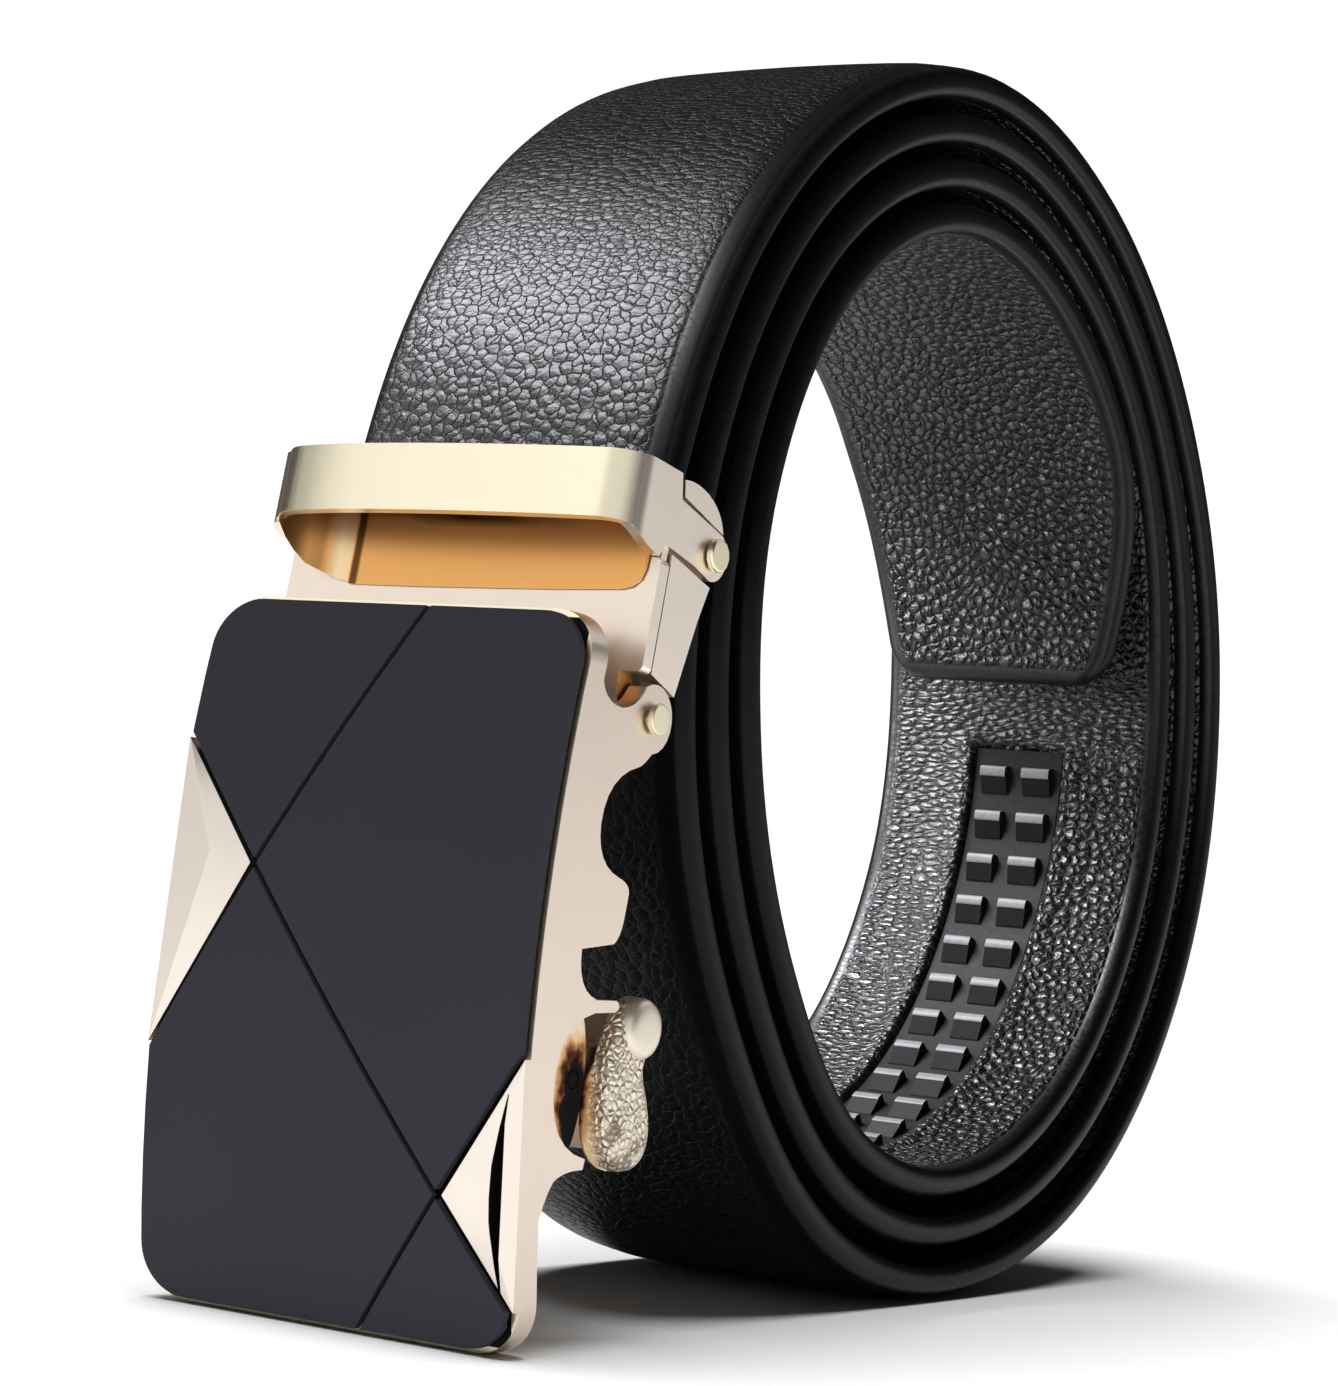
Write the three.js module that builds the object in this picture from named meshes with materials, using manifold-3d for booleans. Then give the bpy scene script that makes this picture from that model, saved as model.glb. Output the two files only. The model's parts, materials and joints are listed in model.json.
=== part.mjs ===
// Dress belt with an automatic buckle, rolled up and standing on its edge.
// Millimetres. +Z is up, the coil's axis runs along X, the buckle faces -Y.
import * as THREE from 'three';
import { mergeVertices } from 'three/addons/utils/BufferGeometryUtils.js';
import Module from 'manifold-3d';

const wasm = await Module();
wasm.setup();

// Strap
const STRAP_WIDTH = 35;
const STRAP_THICK = 3.8;
const STRAP_MARGIN_THICK = 3.3;
const LIP = 0.8;
const LIP_FALL = 0.1;
const COIL_TURNS = 3.5;
const STEPS_PER_TURN = 48;
const COIL_START = 8;
const TIP_SHARES = [0, 0.35, 0.65, 0.86, 0.91, 0.95, 0.98, 1];
const TIP_TAPER_LENGTH = 28;
const TIP_TAPER = 4.5;
const TIP_CORNER = 4;

// How the coil lies, seen from +X: the outer face's radius before it winds inwards, and the step
// from turn to turn. The angle starts at the front (-Y) and goes up over the top.
const COIL = [
  { angle: 0, outer: 62.3, pitch: 5.6 },
  { angle: 30, outer: 64.3, pitch: 5.0 },
  { angle: 60, outer: 66.05, pitch: 4.5 },
  { angle: 90, outer: 66.1, pitch: 4.45 },
  { angle: 120, outer: 63.8, pitch: 4.75 },
  { angle: 150, outer: 62.9, pitch: 5.3 },
  { angle: 180, outer: 65.3, pitch: 7.0 },
  { angle: 210, outer: 67.65, pitch: 7.3 },
  { angle: 240, outer: 67.05, pitch: 6.4 },
  { angle: 270, outer: 64.2, pitch: 5.1 },
  { angle: 300, outer: 62.7, pitch: 4.9 },
  { angle: 330, outer: 60.75, pitch: 5.3 },
];
const LEAD_OUT = 4.2;
const LEAD_ANGLE = 30;

// Ratchet track on the strap's inner face
const TRACK_WIDTH = 11;
const TRACK_START = 911;
const TOOTH_COUNT = 28;
const TOOTH_PITCH = 5.4;
const TOOTH_HEIGHT = 0.9;
const TRACK_SLOT = 1.8;
const TRACK_BASE = 0.1;
const GROOVE_DEPTH = 1.0;
const GROOVE_SIDE = 0.5;
const GAP = 0.3;

// Buckle: places are measured from the hinge pin, which lies behind the plate
const HINGE = { y: -64.2, z: 4.3 };
const FRAME_LEAN = 11.5;
const CLAMP_LEAN = 18.4;
const PLATE_WIDTH = 40;
const PLATE_TOP = 8;
const PLATE_BOTTOM = -54;
const PLATE_FRONT = 14.2;
const PLATE_BOW = 3.2;
const PLATE_THICK = 3.6;
const PANEL_THICK = 0.8;
const PANEL_LINE = 0.45;
const PANEL_RIM = 0.35;
const PLATE_CORNER = 4.5;
const FACET_RIM = 0.5;
const LEFT_PEAK = { x: -14.6, z: -15, height: 0.9 };
const RIGHT_PEAK = { x: 17.2, z: -41, height: 0.7 };
const SCOOP_DEPTH = 1.6;
const WALL_OUT = 19.8;
const WALL_THICK = 1.9;
const WALL_IN = WALL_OUT - WALL_THICK;
const WALL_ROOT = 0.6;
const POCKET_DEPTH = 1.1;
const EAR_RADIUS = 3.0;
const PIN_RADIUS = 0.8;
const PIN_PLAY = 0.05;
const RIVET_PLAY = 0.1;
const RUNNING_GAP = 0.3;
const HINGE_SHANK = 15.4;
const RIVET_HEAD = WALL_OUT + 0.25;
const REACH_X = 30;

// Clamp
const CLAMP_FRONT = 3.2;
const CLAMP_PLATE = 1.4;
const LOOP_FRONT = 10.2;
const LOOP_BAND = 6.1;
const LOOP_TOP = 21.3;
const LOOP_WALL = 1;
const LOOP_CORNER = 3.6;
const LOOP_OUT = WALL_OUT + 0.1;
const LOOP_BACK = 4;
const BLOCK_LOW = 3.4;
const BLOCK_HIGH = 13.5;
const NECK_LOW = 12.2;
const NECK_HIGH = 18;
const NECK_STEP = 0.5;
const NECK_TIE = 0.6;
const LUG_THICK = 2.4;
const CHEEK_IN = 17.8;
const CHEEK_OUT = 18.6;
const UPPER_PIN = { y: 4.7, z: 15.9 };
const JAW_BACK = 2.5;
const JAW_PLATE = 1.4;
const JAW_LOW = 3.2;
const JAW_HIGH = 13;

// Release lever
const LEVER_PIN = { y: -4.6, z: -31 };
const KNOB_OUT = 20.4;
const LEVER_EAR = 1.6;
const PAWL_WIDTH = 10;

// Materials
const finish = (color, roughness, metalness) =>
  new THREE.MeshStandardMaterial({ color, roughness, metalness });
const LEATHER = 0x141417;
const GOLD = 0xd8c3a0;
const PALE_GOLD = 0xe8d9b4;
const SLATE = 0x2c2b31;
const NYLON = 0x1c1c20;

const rad = THREE.MathUtils.degToRad;

// Solids

function toManifold(geometry) {
  const bare = geometry.clone();
  bare.deleteAttribute('normal');
  bare.deleteAttribute('uv');
  const merged = mergeVertices(bare, 1e-4);
  return new wasm.Manifold(new wasm.Mesh({
    numProp: 3,
    vertProperties: new Float32Array(merged.attributes.position.array),
    triVerts: new Uint32Array(merged.index.array),
  }));
}

function toGeometry(manifold) {
  const result = manifold.getMesh();
  const geometry = new THREE.BufferGeometry();
  geometry.setAttribute('position', new THREE.BufferAttribute(result.vertProperties, 3));
  geometry.setIndex(new THREE.BufferAttribute(result.triVerts, 1));
  return geometry;
}

function addPiece(group, name, geometry, material) {
  geometry.computeVertexNormals();
  const mesh = new THREE.Mesh(geometry, material);
  mesh.name = name;
  group.add(mesh);
  return mesh;
}

// A shape drawn as (y, z) is extruded across the belt, from x0 to x1
function acrossX(shape, x0, x1, curveSegments = 6) {
  const geometry = new THREE.ExtrudeGeometry(shape, { depth: x1 - x0, bevelEnabled: false, curveSegments });
  const turn = new THREE.Matrix4().makeBasis(
    new THREE.Vector3(0, 1, 0),
    new THREE.Vector3(0, 0, 1),
    new THREE.Vector3(1, 0, 0),
  );
  geometry.applyMatrix4(turn);
  geometry.translate(x0, 0, 0);
  return toManifold(geometry);
}

// A shape drawn as (x, z) is extruded from front to back, from y0 to y1
function throughY(shape, y0, y1, curveSegments = 6) {
  const geometry = new THREE.ExtrudeGeometry(shape, { depth: y1 - y0, bevelEnabled: false, curveSegments });
  const turn = new THREE.Matrix4().makeBasis(
    new THREE.Vector3(1, 0, 0),
    new THREE.Vector3(0, 0, 1),
    new THREE.Vector3(0, -1, 0),
  );
  geometry.applyMatrix4(turn);
  geometry.translate(0, y1, 0);
  return toManifold(geometry);
}

// A shape drawn as (x, y) is extruded upwards, from z0 to z1
function upZ(shape, z0, z1, curveSegments = 5) {
  const geometry = new THREE.ExtrudeGeometry(shape, { depth: z1 - z0, bevelEnabled: false, curveSegments });
  geometry.translate(0, 0, z0);
  return toManifold(geometry);
}

const corners = (rows) => new THREE.Shape(rows.map(([a, b]) => new THREE.Vector2(a, b)));

const rectangle = (a0, a1, b0, b1) => corners([[a0, b0], [a1, b0], [a1, b1], [a0, b1]]);

function roundedRectangle(a0, a1, b0, b1, radius) {
  const shape = new THREE.Shape();
  shape.moveTo(a0 + radius, b0);
  shape.lineTo(a1 - radius, b0);
  shape.absarc(a1 - radius, b0 + radius, radius, -Math.PI / 2, 0);
  shape.lineTo(a1, b1 - radius);
  shape.absarc(a1 - radius, b1 - radius, radius, 0, Math.PI / 2);
  shape.lineTo(a0 + radius, b1);
  shape.absarc(a0 + radius, b1 - radius, radius, Math.PI / 2, Math.PI);
  shape.lineTo(a0, b0 + radius);
  shape.absarc(a0 + radius, b0 + radius, radius, Math.PI, Math.PI * 1.5);
  return shape;
}

function disc(a, b, radius) {
  const shape = new THREE.Shape();
  shape.absarc(a, b, radius, 0, Math.PI * 2);
  return shape;
}

// An outline through a list of stretches: straight to a point, curved to it via another, or an arc
function outline(stretches) {
  const shape = new THREE.Shape();
  stretches.forEach(({ to, via, arc }, i) => {
    if (i === 0) shape.moveTo(...to);
    else if (arc) shape.absarc(arc.y, arc.z, arc.radius, rad(arc.from), rad(arc.till), arc.till < arc.from);
    else if (via) shape.quadraticCurveTo(...via, ...to);
    else shape.lineTo(...to);
  });
  return shape;
}

// A closed skin through a row of rings that all have the same number of points
function loft(rings) {
  const count = rings[0].length;
  const positions = rings.flat().flatMap((point) => [point.x, point.y, point.z]);
  const index = [];
  for (let i = 0; i < rings.length - 1; i += 1) {
    for (let j = 0; j < count; j += 1) {
      const a = i * count + j;
      const b = i * count + ((j + 1) % count);
      index.push(a, b + count, b, a, a + count, b + count);
    }
  }
  return { positions, index, count };
}

function capped(rings, end) {
  const { positions, index, count } = loft(rings);
  const faces = THREE.ShapeUtils.triangulateShape(end, []);
  const last = (rings.length - 1) * count;
  for (const [a, b, c] of faces) {
    index.push(a, b, c);
    index.push(last + a, last + c, last + b);
  }
  const geometry = new THREE.BufferGeometry();
  geometry.setAttribute('position', new THREE.Float32BufferAttribute(positions, 3));
  geometry.setIndex(index);
  return geometry;
}

// Strap

// Smooth value of a column of the coil table at any angle
function coilValue(column, angle) {
  const step = 360 / COIL.length;
  const place = (((angle % 360) + 360) % 360) / step;
  const i = Math.floor(place);
  const t = place - i;
  const at = (k) => COIL[(i + k + COIL.length) % COIL.length][column];
  const [p0, p1, p2, p3] = [at(-1), at(0), at(1), at(2)];
  const slope0 = (p2 - p0) / 2;
  const slope1 = (p3 - p1) / 2;
  return (2 * t ** 3 - 3 * t ** 2 + 1) * p1 + (t ** 3 - 2 * t ** 2 + t) * slope0
    + (3 * t ** 2 - 2 * t ** 3) * p2 + (t ** 3 - t ** 2) * slope1;
}

// Radius of the strap's outer face after an angle counted from the buckle
function strapRadius(angle) {
  const lead = Math.max(0, 1 - angle / LEAD_ANGLE);
  return coilValue('outer', angle) - coilValue('pitch', angle) * angle / 360 + LEAD_OUT * lead * lead;
}

function strapPoint(angle) {
  const radius = strapRadius(angle);
  return new THREE.Vector2(-radius * Math.cos(rad(angle)), radius * Math.sin(rad(angle)));
}

// Place on the strap: a point on the outer face and the direction from there to the inner face
function strapFrame(angle) {
  const point = strapPoint(angle);
  const along = strapPoint(angle + 0.5).sub(strapPoint(angle - 0.5)).normalize();
  const inward = new THREE.Vector2(along.y, -along.x);
  return { point, inward };
}

function strapPlace(angle, x, height) {
  const { point, inward } = strapFrame(angle);
  const depth = STRAP_THICK - height;
  return new THREE.Vector3(x, point.x + inward.x * depth, point.y + inward.y * depth);
}

// Angle after walking a length along the middle of the strap
function walk(angle, length) {
  const steps = Math.ceil(Math.abs(length) / 0.5);
  let here = angle;
  for (let i = 0; i < steps; i += 1) {
    const radius = strapRadius(here) - STRAP_THICK / 2;
    here += THREE.MathUtils.radToDeg(length / steps / radius);
  }
  return here;
}

const coilEnd = COIL_TURNS * 360 + 1;
const trackEnd = walk(TRACK_START, TOOTH_COUNT * TOOTH_PITCH);
const tipStart = walk(coilEnd, -TIP_TAPER_LENGTH);

// Half width at a distance from the tip: a taper that ends in round corners
function halfWidth(angle) {
  const edge = STRAP_WIDTH / 2;
  if (angle < tipStart) return edge;
  const taper = (angle - tipStart) / (coilEnd - tipStart);
  const fromEnd = (1 - taper) * TIP_TAPER_LENGTH;
  const narrowed = edge - TIP_TAPER * taper ** 1.5;
  if (fromEnd >= TIP_CORNER) return narrowed;
  const run = 1 - fromEnd / TIP_CORNER;
  return narrowed - TIP_CORNER * (1 - Math.sqrt(Math.max(0, 1 - run * run)));
}

// Section of the strap: x across it and z as the height over the inner face, with a groove for the track
function strapSection(edge, groove) {
  const margin = STRAP_MARGIN_THICK;
  const side = TRACK_WIDTH / 2 + GAP;
  const right = [
    { x: edge, z: LIP },
    { x: edge, z: margin - LIP },
    { x: edge - LIP, z: margin - LIP_FALL },
    { x: edge * 0.8, z: margin + LIP_FALL },
    { x: edge * 0.4, z: STRAP_THICK - LIP_FALL },
  ];
  const left = right.map(({ x, z }) => ({ x: -x, z })).reverse();
  const under = [
    { x: -edge + LIP, z: LIP_FALL / 2 },
    { x: -side - GROOVE_SIDE, z: 0 },
    { x: -side, z: groove },
    { x: side, z: groove },
    { x: side + GROOVE_SIDE, z: 0 },
    { x: edge - LIP, z: LIP_FALL / 2 },
  ];
  return [...right, ...left, ...under];
}

function makeStrap() {
  const angles = [];
  const step = 360 / STEPS_PER_TURN;
  for (let angle = COIL_START; angle < tipStart; angle += step) angles.push(angle);
  for (const share of TIP_SHARES) angles.push(tipStart + share * (coilEnd - tipStart));
  const stops = [TRACK_START - 1, TRACK_START - 0.5, trackEnd + 0.5, trackEnd + 1];
  const clear = angles.filter((angle) => stops.every((stop) => Math.abs(angle - stop) > 0.6));
  const all = [...clear, ...stops].sort((a, b) => a - b);
  const inTrack = (angle) => (angle > stops[0] && angle < stops[3] ? GROOVE_DEPTH : 0);
  const sectionAt = (angle) => strapSection(halfWidth(angle), inTrack(angle));
  const rings = all.map((angle) => sectionAt(angle).map(({ x, z }) => strapPlace(angle, x, z)));
  const end = strapSection(STRAP_WIDTH / 2, 0.01).map(({ x, z }) => new THREE.Vector2(x, z));
  return capped(rings, end);
}

// One tooth along the track: share of the pitch and share of the tooth's height
const TOOTH = [
  { run: 0.04, height: 0.05 },
  { run: 0.12, height: 1 },
  { run: 0.5, height: 0.75 },
  { run: 0.9, height: 0.05 },
];

function makeTrack() {
  const floor = GROOVE_DEPTH - GAP;
  const edge = TRACK_WIDTH / 2;
  const slot = TRACK_SLOT / 2;
  const section = (top) => [
    { x: edge, z: floor },
    { x: -edge, z: floor },
    { x: -edge, z: top },
    { x: -slot, z: top },
    { x: -slot, z: TRACK_BASE },
    { x: slot, z: TRACK_BASE },
    { x: slot, z: top },
    { x: edge, z: top },
  ];
  const rings = [];
  let angle = TRACK_START;
  for (let i = 0; i < TOOTH_COUNT; i += 1) {
    const next = walk(angle, TOOTH_PITCH);
    for (const { run, height } of TOOTH) {
      const here = angle + run * (next - angle);
      rings.push(section(TRACK_BASE - TOOTH_HEIGHT * height).map(({ x, z }) => strapPlace(here, x, z)));
    }
    angle = next;
  }
  const end = section(TRACK_BASE - TOOTH_HEIGHT).map(({ x, z }) => new THREE.Vector2(x, z));
  return capped(rings, end);
}

// Buckle frame

const plateMiddle = (PLATE_TOP + PLATE_BOTTOM) / 2;
const plateHalf = (PLATE_TOP - PLATE_BOTTOM) / 2;

// y of the face at a height; a depth moves it back into the plate
function faceY(z, depth = 0) {
  const share = (z - plateMiddle) / plateHalf;
  return -(PLATE_FRONT - PLATE_BOW * share * share) + depth;
}

// Bowed layer between two depths under the face
function layer(depth0, depth1, margin = 2, steps = 14) {
  const rows = [];
  const low = PLATE_BOTTOM - margin;
  const high = PLATE_TOP + margin;
  for (let i = 0; i <= steps; i += 1) {
    const z = low + ((high - low) * i) / steps;
    rows.push(z);
  }
  const front = rows.map((z) => [faceY(z, depth0), z]);
  const back = rows.map((z) => [faceY(z, depth1), z]).reverse();
  return acrossX(corners([...front, ...back]), -PLATE_WIDTH / 2 - 1, PLATE_WIDTH / 2 + 1);
}

// Reach of the tools that cut from front to back
const FRONT_Y = -24;
const BACK_Y = 2;
const FAR_BACK = 30;

// Lines of the face: the long one falls to the right, the two others rise to the right
const faceHalf = PLATE_WIDTH / 2;
const longLine = { x0: -faceHalf, z0: -4.6, x1: faceHalf, z1: -50.7 };
const longSlope = (longLine.z1 - longLine.z0) / (longLine.x1 - longLine.x0);
const onLongLine = (x) => ({ x, z: longLine.z0 + (x + faceHalf) * longSlope });
const upperCross = onLongLine(-10.4);
const lowerCross = onLongLine(12);
const UPPER_RISE = 1.75;
const LOWER_RISE = 1.55;
const upperTop = { x: upperCross.x + (PLATE_TOP - upperCross.z) / UPPER_RISE, z: PLATE_TOP };
const upperLeft = { x: -faceHalf, z: upperCross.z + (-faceHalf - upperCross.x) * UPPER_RISE };
const lowerRight = { x: faceHalf, z: lowerCross.z + (faceHalf - lowerCross.x) * LOWER_RISE };
const lowerBottom = { x: lowerCross.x + (PLATE_BOTTOM - lowerCross.z) / LOWER_RISE, z: PLATE_BOTTOM };

const plateOutline = roundedRectangle(-faceHalf, faceHalf, PLATE_BOTTOM, PLATE_TOP, PLATE_CORNER);

// Polygon drawn in by half a line's width on the sides that meet another panel
function insetPolygon(points, inset) {
  const count = points.length;
  const centre = points.reduce((sum, p) => sum.add(new THREE.Vector2(p.x, p.z)), new THREE.Vector2());
  centre.divideScalar(count);
  const lines = points.map((p, i) => {
    const q = points[(i + 1) % count];
    const along = new THREE.Vector2(q.x - p.x, q.z - p.z).normalize();
    const normal = new THREE.Vector2(-along.y, along.x);
    const toCentre = new THREE.Vector2(centre.x - p.x, centre.y - p.z);
    if (normal.dot(toCentre) < 0) normal.negate();
    return { x: p.x + normal.x * inset, z: p.z + normal.y * inset, along };
  });
  return lines.map((line, i) => {
    const before = lines[(i + count - 1) % count];
    const cross = before.along.x * line.along.y - before.along.y * line.along.x;
    const dx = line.x - before.x;
    const dz = line.z - before.z;
    const t = (dx * line.along.y - dz * line.along.x) / cross;
    return [before.x + before.along.x * t, before.z + before.along.y * t];
  });
}

// The panels are drawn a little past the plate and cut to its outline afterwards
const OVER = 3;
const highZ = PLATE_TOP + OVER;
const lowZ = PLATE_BOTTOM - OVER;
const leftX = -faceHalf - OVER;
const rightX = faceHalf + OVER;
const upperHigh = { x: upperTop.x + OVER / UPPER_RISE, z: highZ };
const lowerLow = { x: lowerBottom.x - OVER / LOWER_RISE, z: lowZ };
const longLeft = { x: leftX, z: longLine.z0 - OVER * longSlope };
const longRight = { x: rightX, z: longLine.z1 + OVER * longSlope };
const crossLeft = { x: leftX, z: upperLeft.z - OVER * UPPER_RISE };
const crossRight = { x: rightX, z: lowerRight.z + OVER * LOWER_RISE };
const panelTable = [
  [{ x: leftX, z: highZ }, longLeft, upperCross, upperHigh],
  [upperHigh, upperCross, lowerCross, crossRight, { x: rightX, z: highZ }],
  [upperCross, crossLeft, { x: leftX, z: lowZ }, lowerLow, lowerCross],
  [lowerCross, lowerLow, { x: rightX, z: lowZ }, longRight],
];

function makePanels(group) {
  const left = -faceHalf + PANEL_RIM;
  const edge = roundedRectangle(left, -left, PLATE_BOTTOM + PANEL_RIM, PLATE_TOP - PANEL_RIM, PLATE_CORNER);
  const skin = layer(0, PANEL_THICK).intersect(throughY(edge, FRONT_Y, BACK_Y));
  const scallop = throughY(disc(faceHalf + 1.2, longLine.z1 - 0.4, 2.2), FRONT_Y, BACK_Y);
  panelTable.forEach((points, i) => {
    const patch = corners(insetPolygon(points, PANEL_LINE / 2));
    const panel = skin.intersect(throughY(patch, FRONT_Y, BACK_Y)).subtract(scallop);
    addPiece(group, `face_panel_${i + 1}`, toGeometry(panel), finish(SLATE, 0.55, 0.1));
  });
}

// A facet stands on the plate between two lines and the plate's edge, with one raised point
function facet(points, peak) {
  const low = points.map((p) => new THREE.Vector3(p.x, faceY(p.z, 2.2), p.z));
  const high = points.map((p) => new THREE.Vector3(p.x, faceY(p.z, 0.25), p.z));
  const top = new THREE.Vector3(peak.x, faceY(peak.z, -peak.height), peak.z);
  const all = [...low, ...high, top];
  const faces = [[0, 2, 1], [3, 4, 6], [4, 5, 6], [5, 3, 6]];
  for (let i = 0; i < 3; i += 1) {
    const j = (i + 1) % 3;
    faces.push([i, j, j + 3], [i, j + 3, i + 3]);
  }
  const geometry = new THREE.BufferGeometry();
  geometry.setAttribute('position', new THREE.Float32BufferAttribute(all.flatMap((v) => [v.x, v.y, v.z]), 3));
  geometry.setIndex(faces.flat());
  return toManifold(geometry);
}

// Side wall seen from +X, drawn as (y, z) up from its foot
const wall = outline([
  { to: [-10.2, -50] },
  { to: [-9.4, -44.5] },
  { via: [-8.8, -41], to: [-7.4, -39.4] },
  { via: [-6, -38.5], to: [-3.3, -38.4] },
  { to: [-3.1, -37.5] },
  // pocket of the release lever
  { via: [-8.9, -36.8], to: [-8.9, -31.2] },
  { via: [-8.9, -26.4], to: [-3.9, -25.3] },
  { to: [-0.9, -25.1] },
  { via: [0.2, -24.6], to: [-0.9, -24.1] },
  // notch and hook tooth
  { to: [-3.9, -24.2] },
  { via: [-7.1, -23.6], to: [-7, -20.1] },
  { to: [-2.3, -19.4] },
  { via: [-1.4, -18.9], to: [-1.1, -17.2] },
  { to: [-0.8, -15] },
  { via: [-0.9, -14.1], to: [-2.6, -13.8] },
  // finger bay
  { via: [-6.2, -13], to: [-6.2, -9.6] },
  { via: [-6, -5.4], to: [-1.2, -4.2] },
  { via: [-0.4, -3.8], to: [0.4, -2.97] },
  // ear round the hinge rivet
  { arc: { y: 0, z: 0, radius: EAR_RADIUS, from: -82, till: 118 } },
  { via: [-2.6, 0.6], to: [-4.9, 0.4] },
  { via: [-8, 0.4], to: [-8.4, 3.2] },
  { to: [-8.4, 5.4] },
  { to: [-12, 5.4] },
  { to: [-13.6, -22] },
  { to: [-12, -50] },
]);

// Thin cheek on the inner side of the wall, which closes the pocket and carries the lever's pin
const pocketCheek = outline([
  { to: [-10.5, -25.2] },
  { to: [-4.5, -24.6] },
  { via: [-2.9, -27.5], to: [-2.9, -31] },
  { via: [-2.9, -34.8], to: [-4.5, -37.8] },
  { to: [-10.5, -38.2] },
]);

function bothSides(make) {
  return make(1).add(make(-1));
}

// Slab between two distances from the middle, on the right (1) or the left (-1)
function slab(shape, inner, outer, side) {
  return side > 0 ? acrossX(shape, inner, outer) : acrossX(shape, -outer, -inner);
}

const bore = (place, radius) => acrossX(disc(place.y, place.z, radius), -REACH_X, REACH_X);

// Hollow crescent in the lower facet, drawn as (x, z)
const scoop = outline([
  { to: [18.6, -32.5] },
  { via: [16.9, -41], to: [18.6, -49.5] },
  { to: [18.7, -49.5] },
  { to: [18.7, -32.5] },
]);

function makeFrame() {
  const body = throughY(plateOutline, FRONT_Y, FAR_BACK);
  const plate = layer(PANEL_THICK + GAP, PLATE_THICK).intersect(body);
  const behind = layer(PLATE_THICK - WALL_ROOT, FAR_BACK, 6).intersect(body);
  const walls = bothSides((side) => slab(wall, WALL_IN, WALL_OUT, side));
  const cheeks = bothSides((side) => slab(pocketCheek, WALL_IN, WALL_OUT - POCKET_DEPTH, side));
  const bores = bore(LEVER_PIN, PIN_RADIUS + PIN_PLAY).add(bore({ y: 0, z: 0 }, PIN_RADIUS + RIVET_PLAY));
  const left = facet([
    { x: -faceHalf, z: longLine.z0 - FACET_RIM },
    { x: -faceHalf, z: upperLeft.z + FACET_RIM },
    { x: upperCross.x - FACET_RIM, z: upperCross.z },
  ], LEFT_PEAK);
  const right = facet([
    { x: faceHalf, z: longLine.z1 + FACET_RIM },
    { x: faceHalf, z: lowerRight.z - FACET_RIM },
    { x: lowerCross.x + FACET_RIM, z: lowerCross.z },
  ], RIGHT_PEAK);
  const crescent = layer(-2, SCOOP_DEPTH).intersect(throughY(scoop, FRONT_Y, BACK_Y));
  const facets = left.add(right).intersect(body);
  const sides = walls.add(cheeks).intersect(behind);
  return plate.add(facets).add(sides).subtract(bores).subtract(crescent);
}

// Clamp

// Keeper seen from above as (x, y): a band round the front with its two ends running back
function keeperRing() {
  const side = LOOP_OUT;
  const inner = CHEEK_OUT + GAP;
  const front = -LOOP_FRONT;
  const wide = LOOP_CORNER;
  const tight = LOOP_CORNER - LOOP_WALL;
  const ring = new THREE.Shape();
  ring.moveTo(side, LOOP_BACK);
  ring.lineTo(side, front + wide);
  ring.absarc(side - wide, front + wide, wide, 0, -Math.PI / 2, true);
  ring.lineTo(-side + wide, front);
  ring.absarc(-side + wide, front + wide, wide, -Math.PI / 2, -Math.PI, true);
  ring.lineTo(-side, LOOP_BACK);
  ring.lineTo(-inner, LOOP_BACK);
  ring.lineTo(-inner, front + LOOP_WALL + tight);
  ring.absarc(-inner + tight, front + LOOP_WALL + tight, tight, -Math.PI, -Math.PI / 2);
  ring.lineTo(inner - tight, front + LOOP_WALL);
  ring.absarc(inner - tight, front + LOOP_WALL + tight, tight, -Math.PI / 2, 0);
  ring.lineTo(inner, LOOP_BACK);
  return ring;
}

// Keeper seen from the side as (y, z): the band in front, the ends that fall back to the rivets
const bandLow = LOOP_TOP - LOOP_BAND;
const keeperSide = outline([
  { to: [-LOOP_FRONT - 1, bandLow + 0.1] },
  { to: [-8.4, bandLow - 0.1] },
  { via: [-6, 13.6], to: [-CLAMP_FRONT - 0.4, 13.5] },
  { to: [-CLAMP_FRONT + 0.3, 14.7] },
  { to: [2, 14.2] },
  { to: [4.6, 13.65] },
  { arc: { ...UPPER_PIN, radius: 2.3, from: -95, till: 62 } },
  { to: [-1.6, 19.1] },
  { to: [-2.2, LOOP_TOP] },
  { to: [-LOOP_FRONT - 1, LOOP_TOP] },
]);

// Lug that reaches down from the clamp's plate round the hinge rivet
const plateBack = CLAMP_PLATE - CLAMP_FRONT;
const lug = outline([
  { to: [-CLAMP_FRONT, 5] },
  { to: [-CLAMP_FRONT, 2] },
  { to: [-1.6, -1.3] },
  { arc: { y: 0, z: 0, radius: 2.1, from: -140, till: 90 } },
  { to: [plateBack, 4] },
  { to: [plateBack, 5] },
]);

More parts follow.
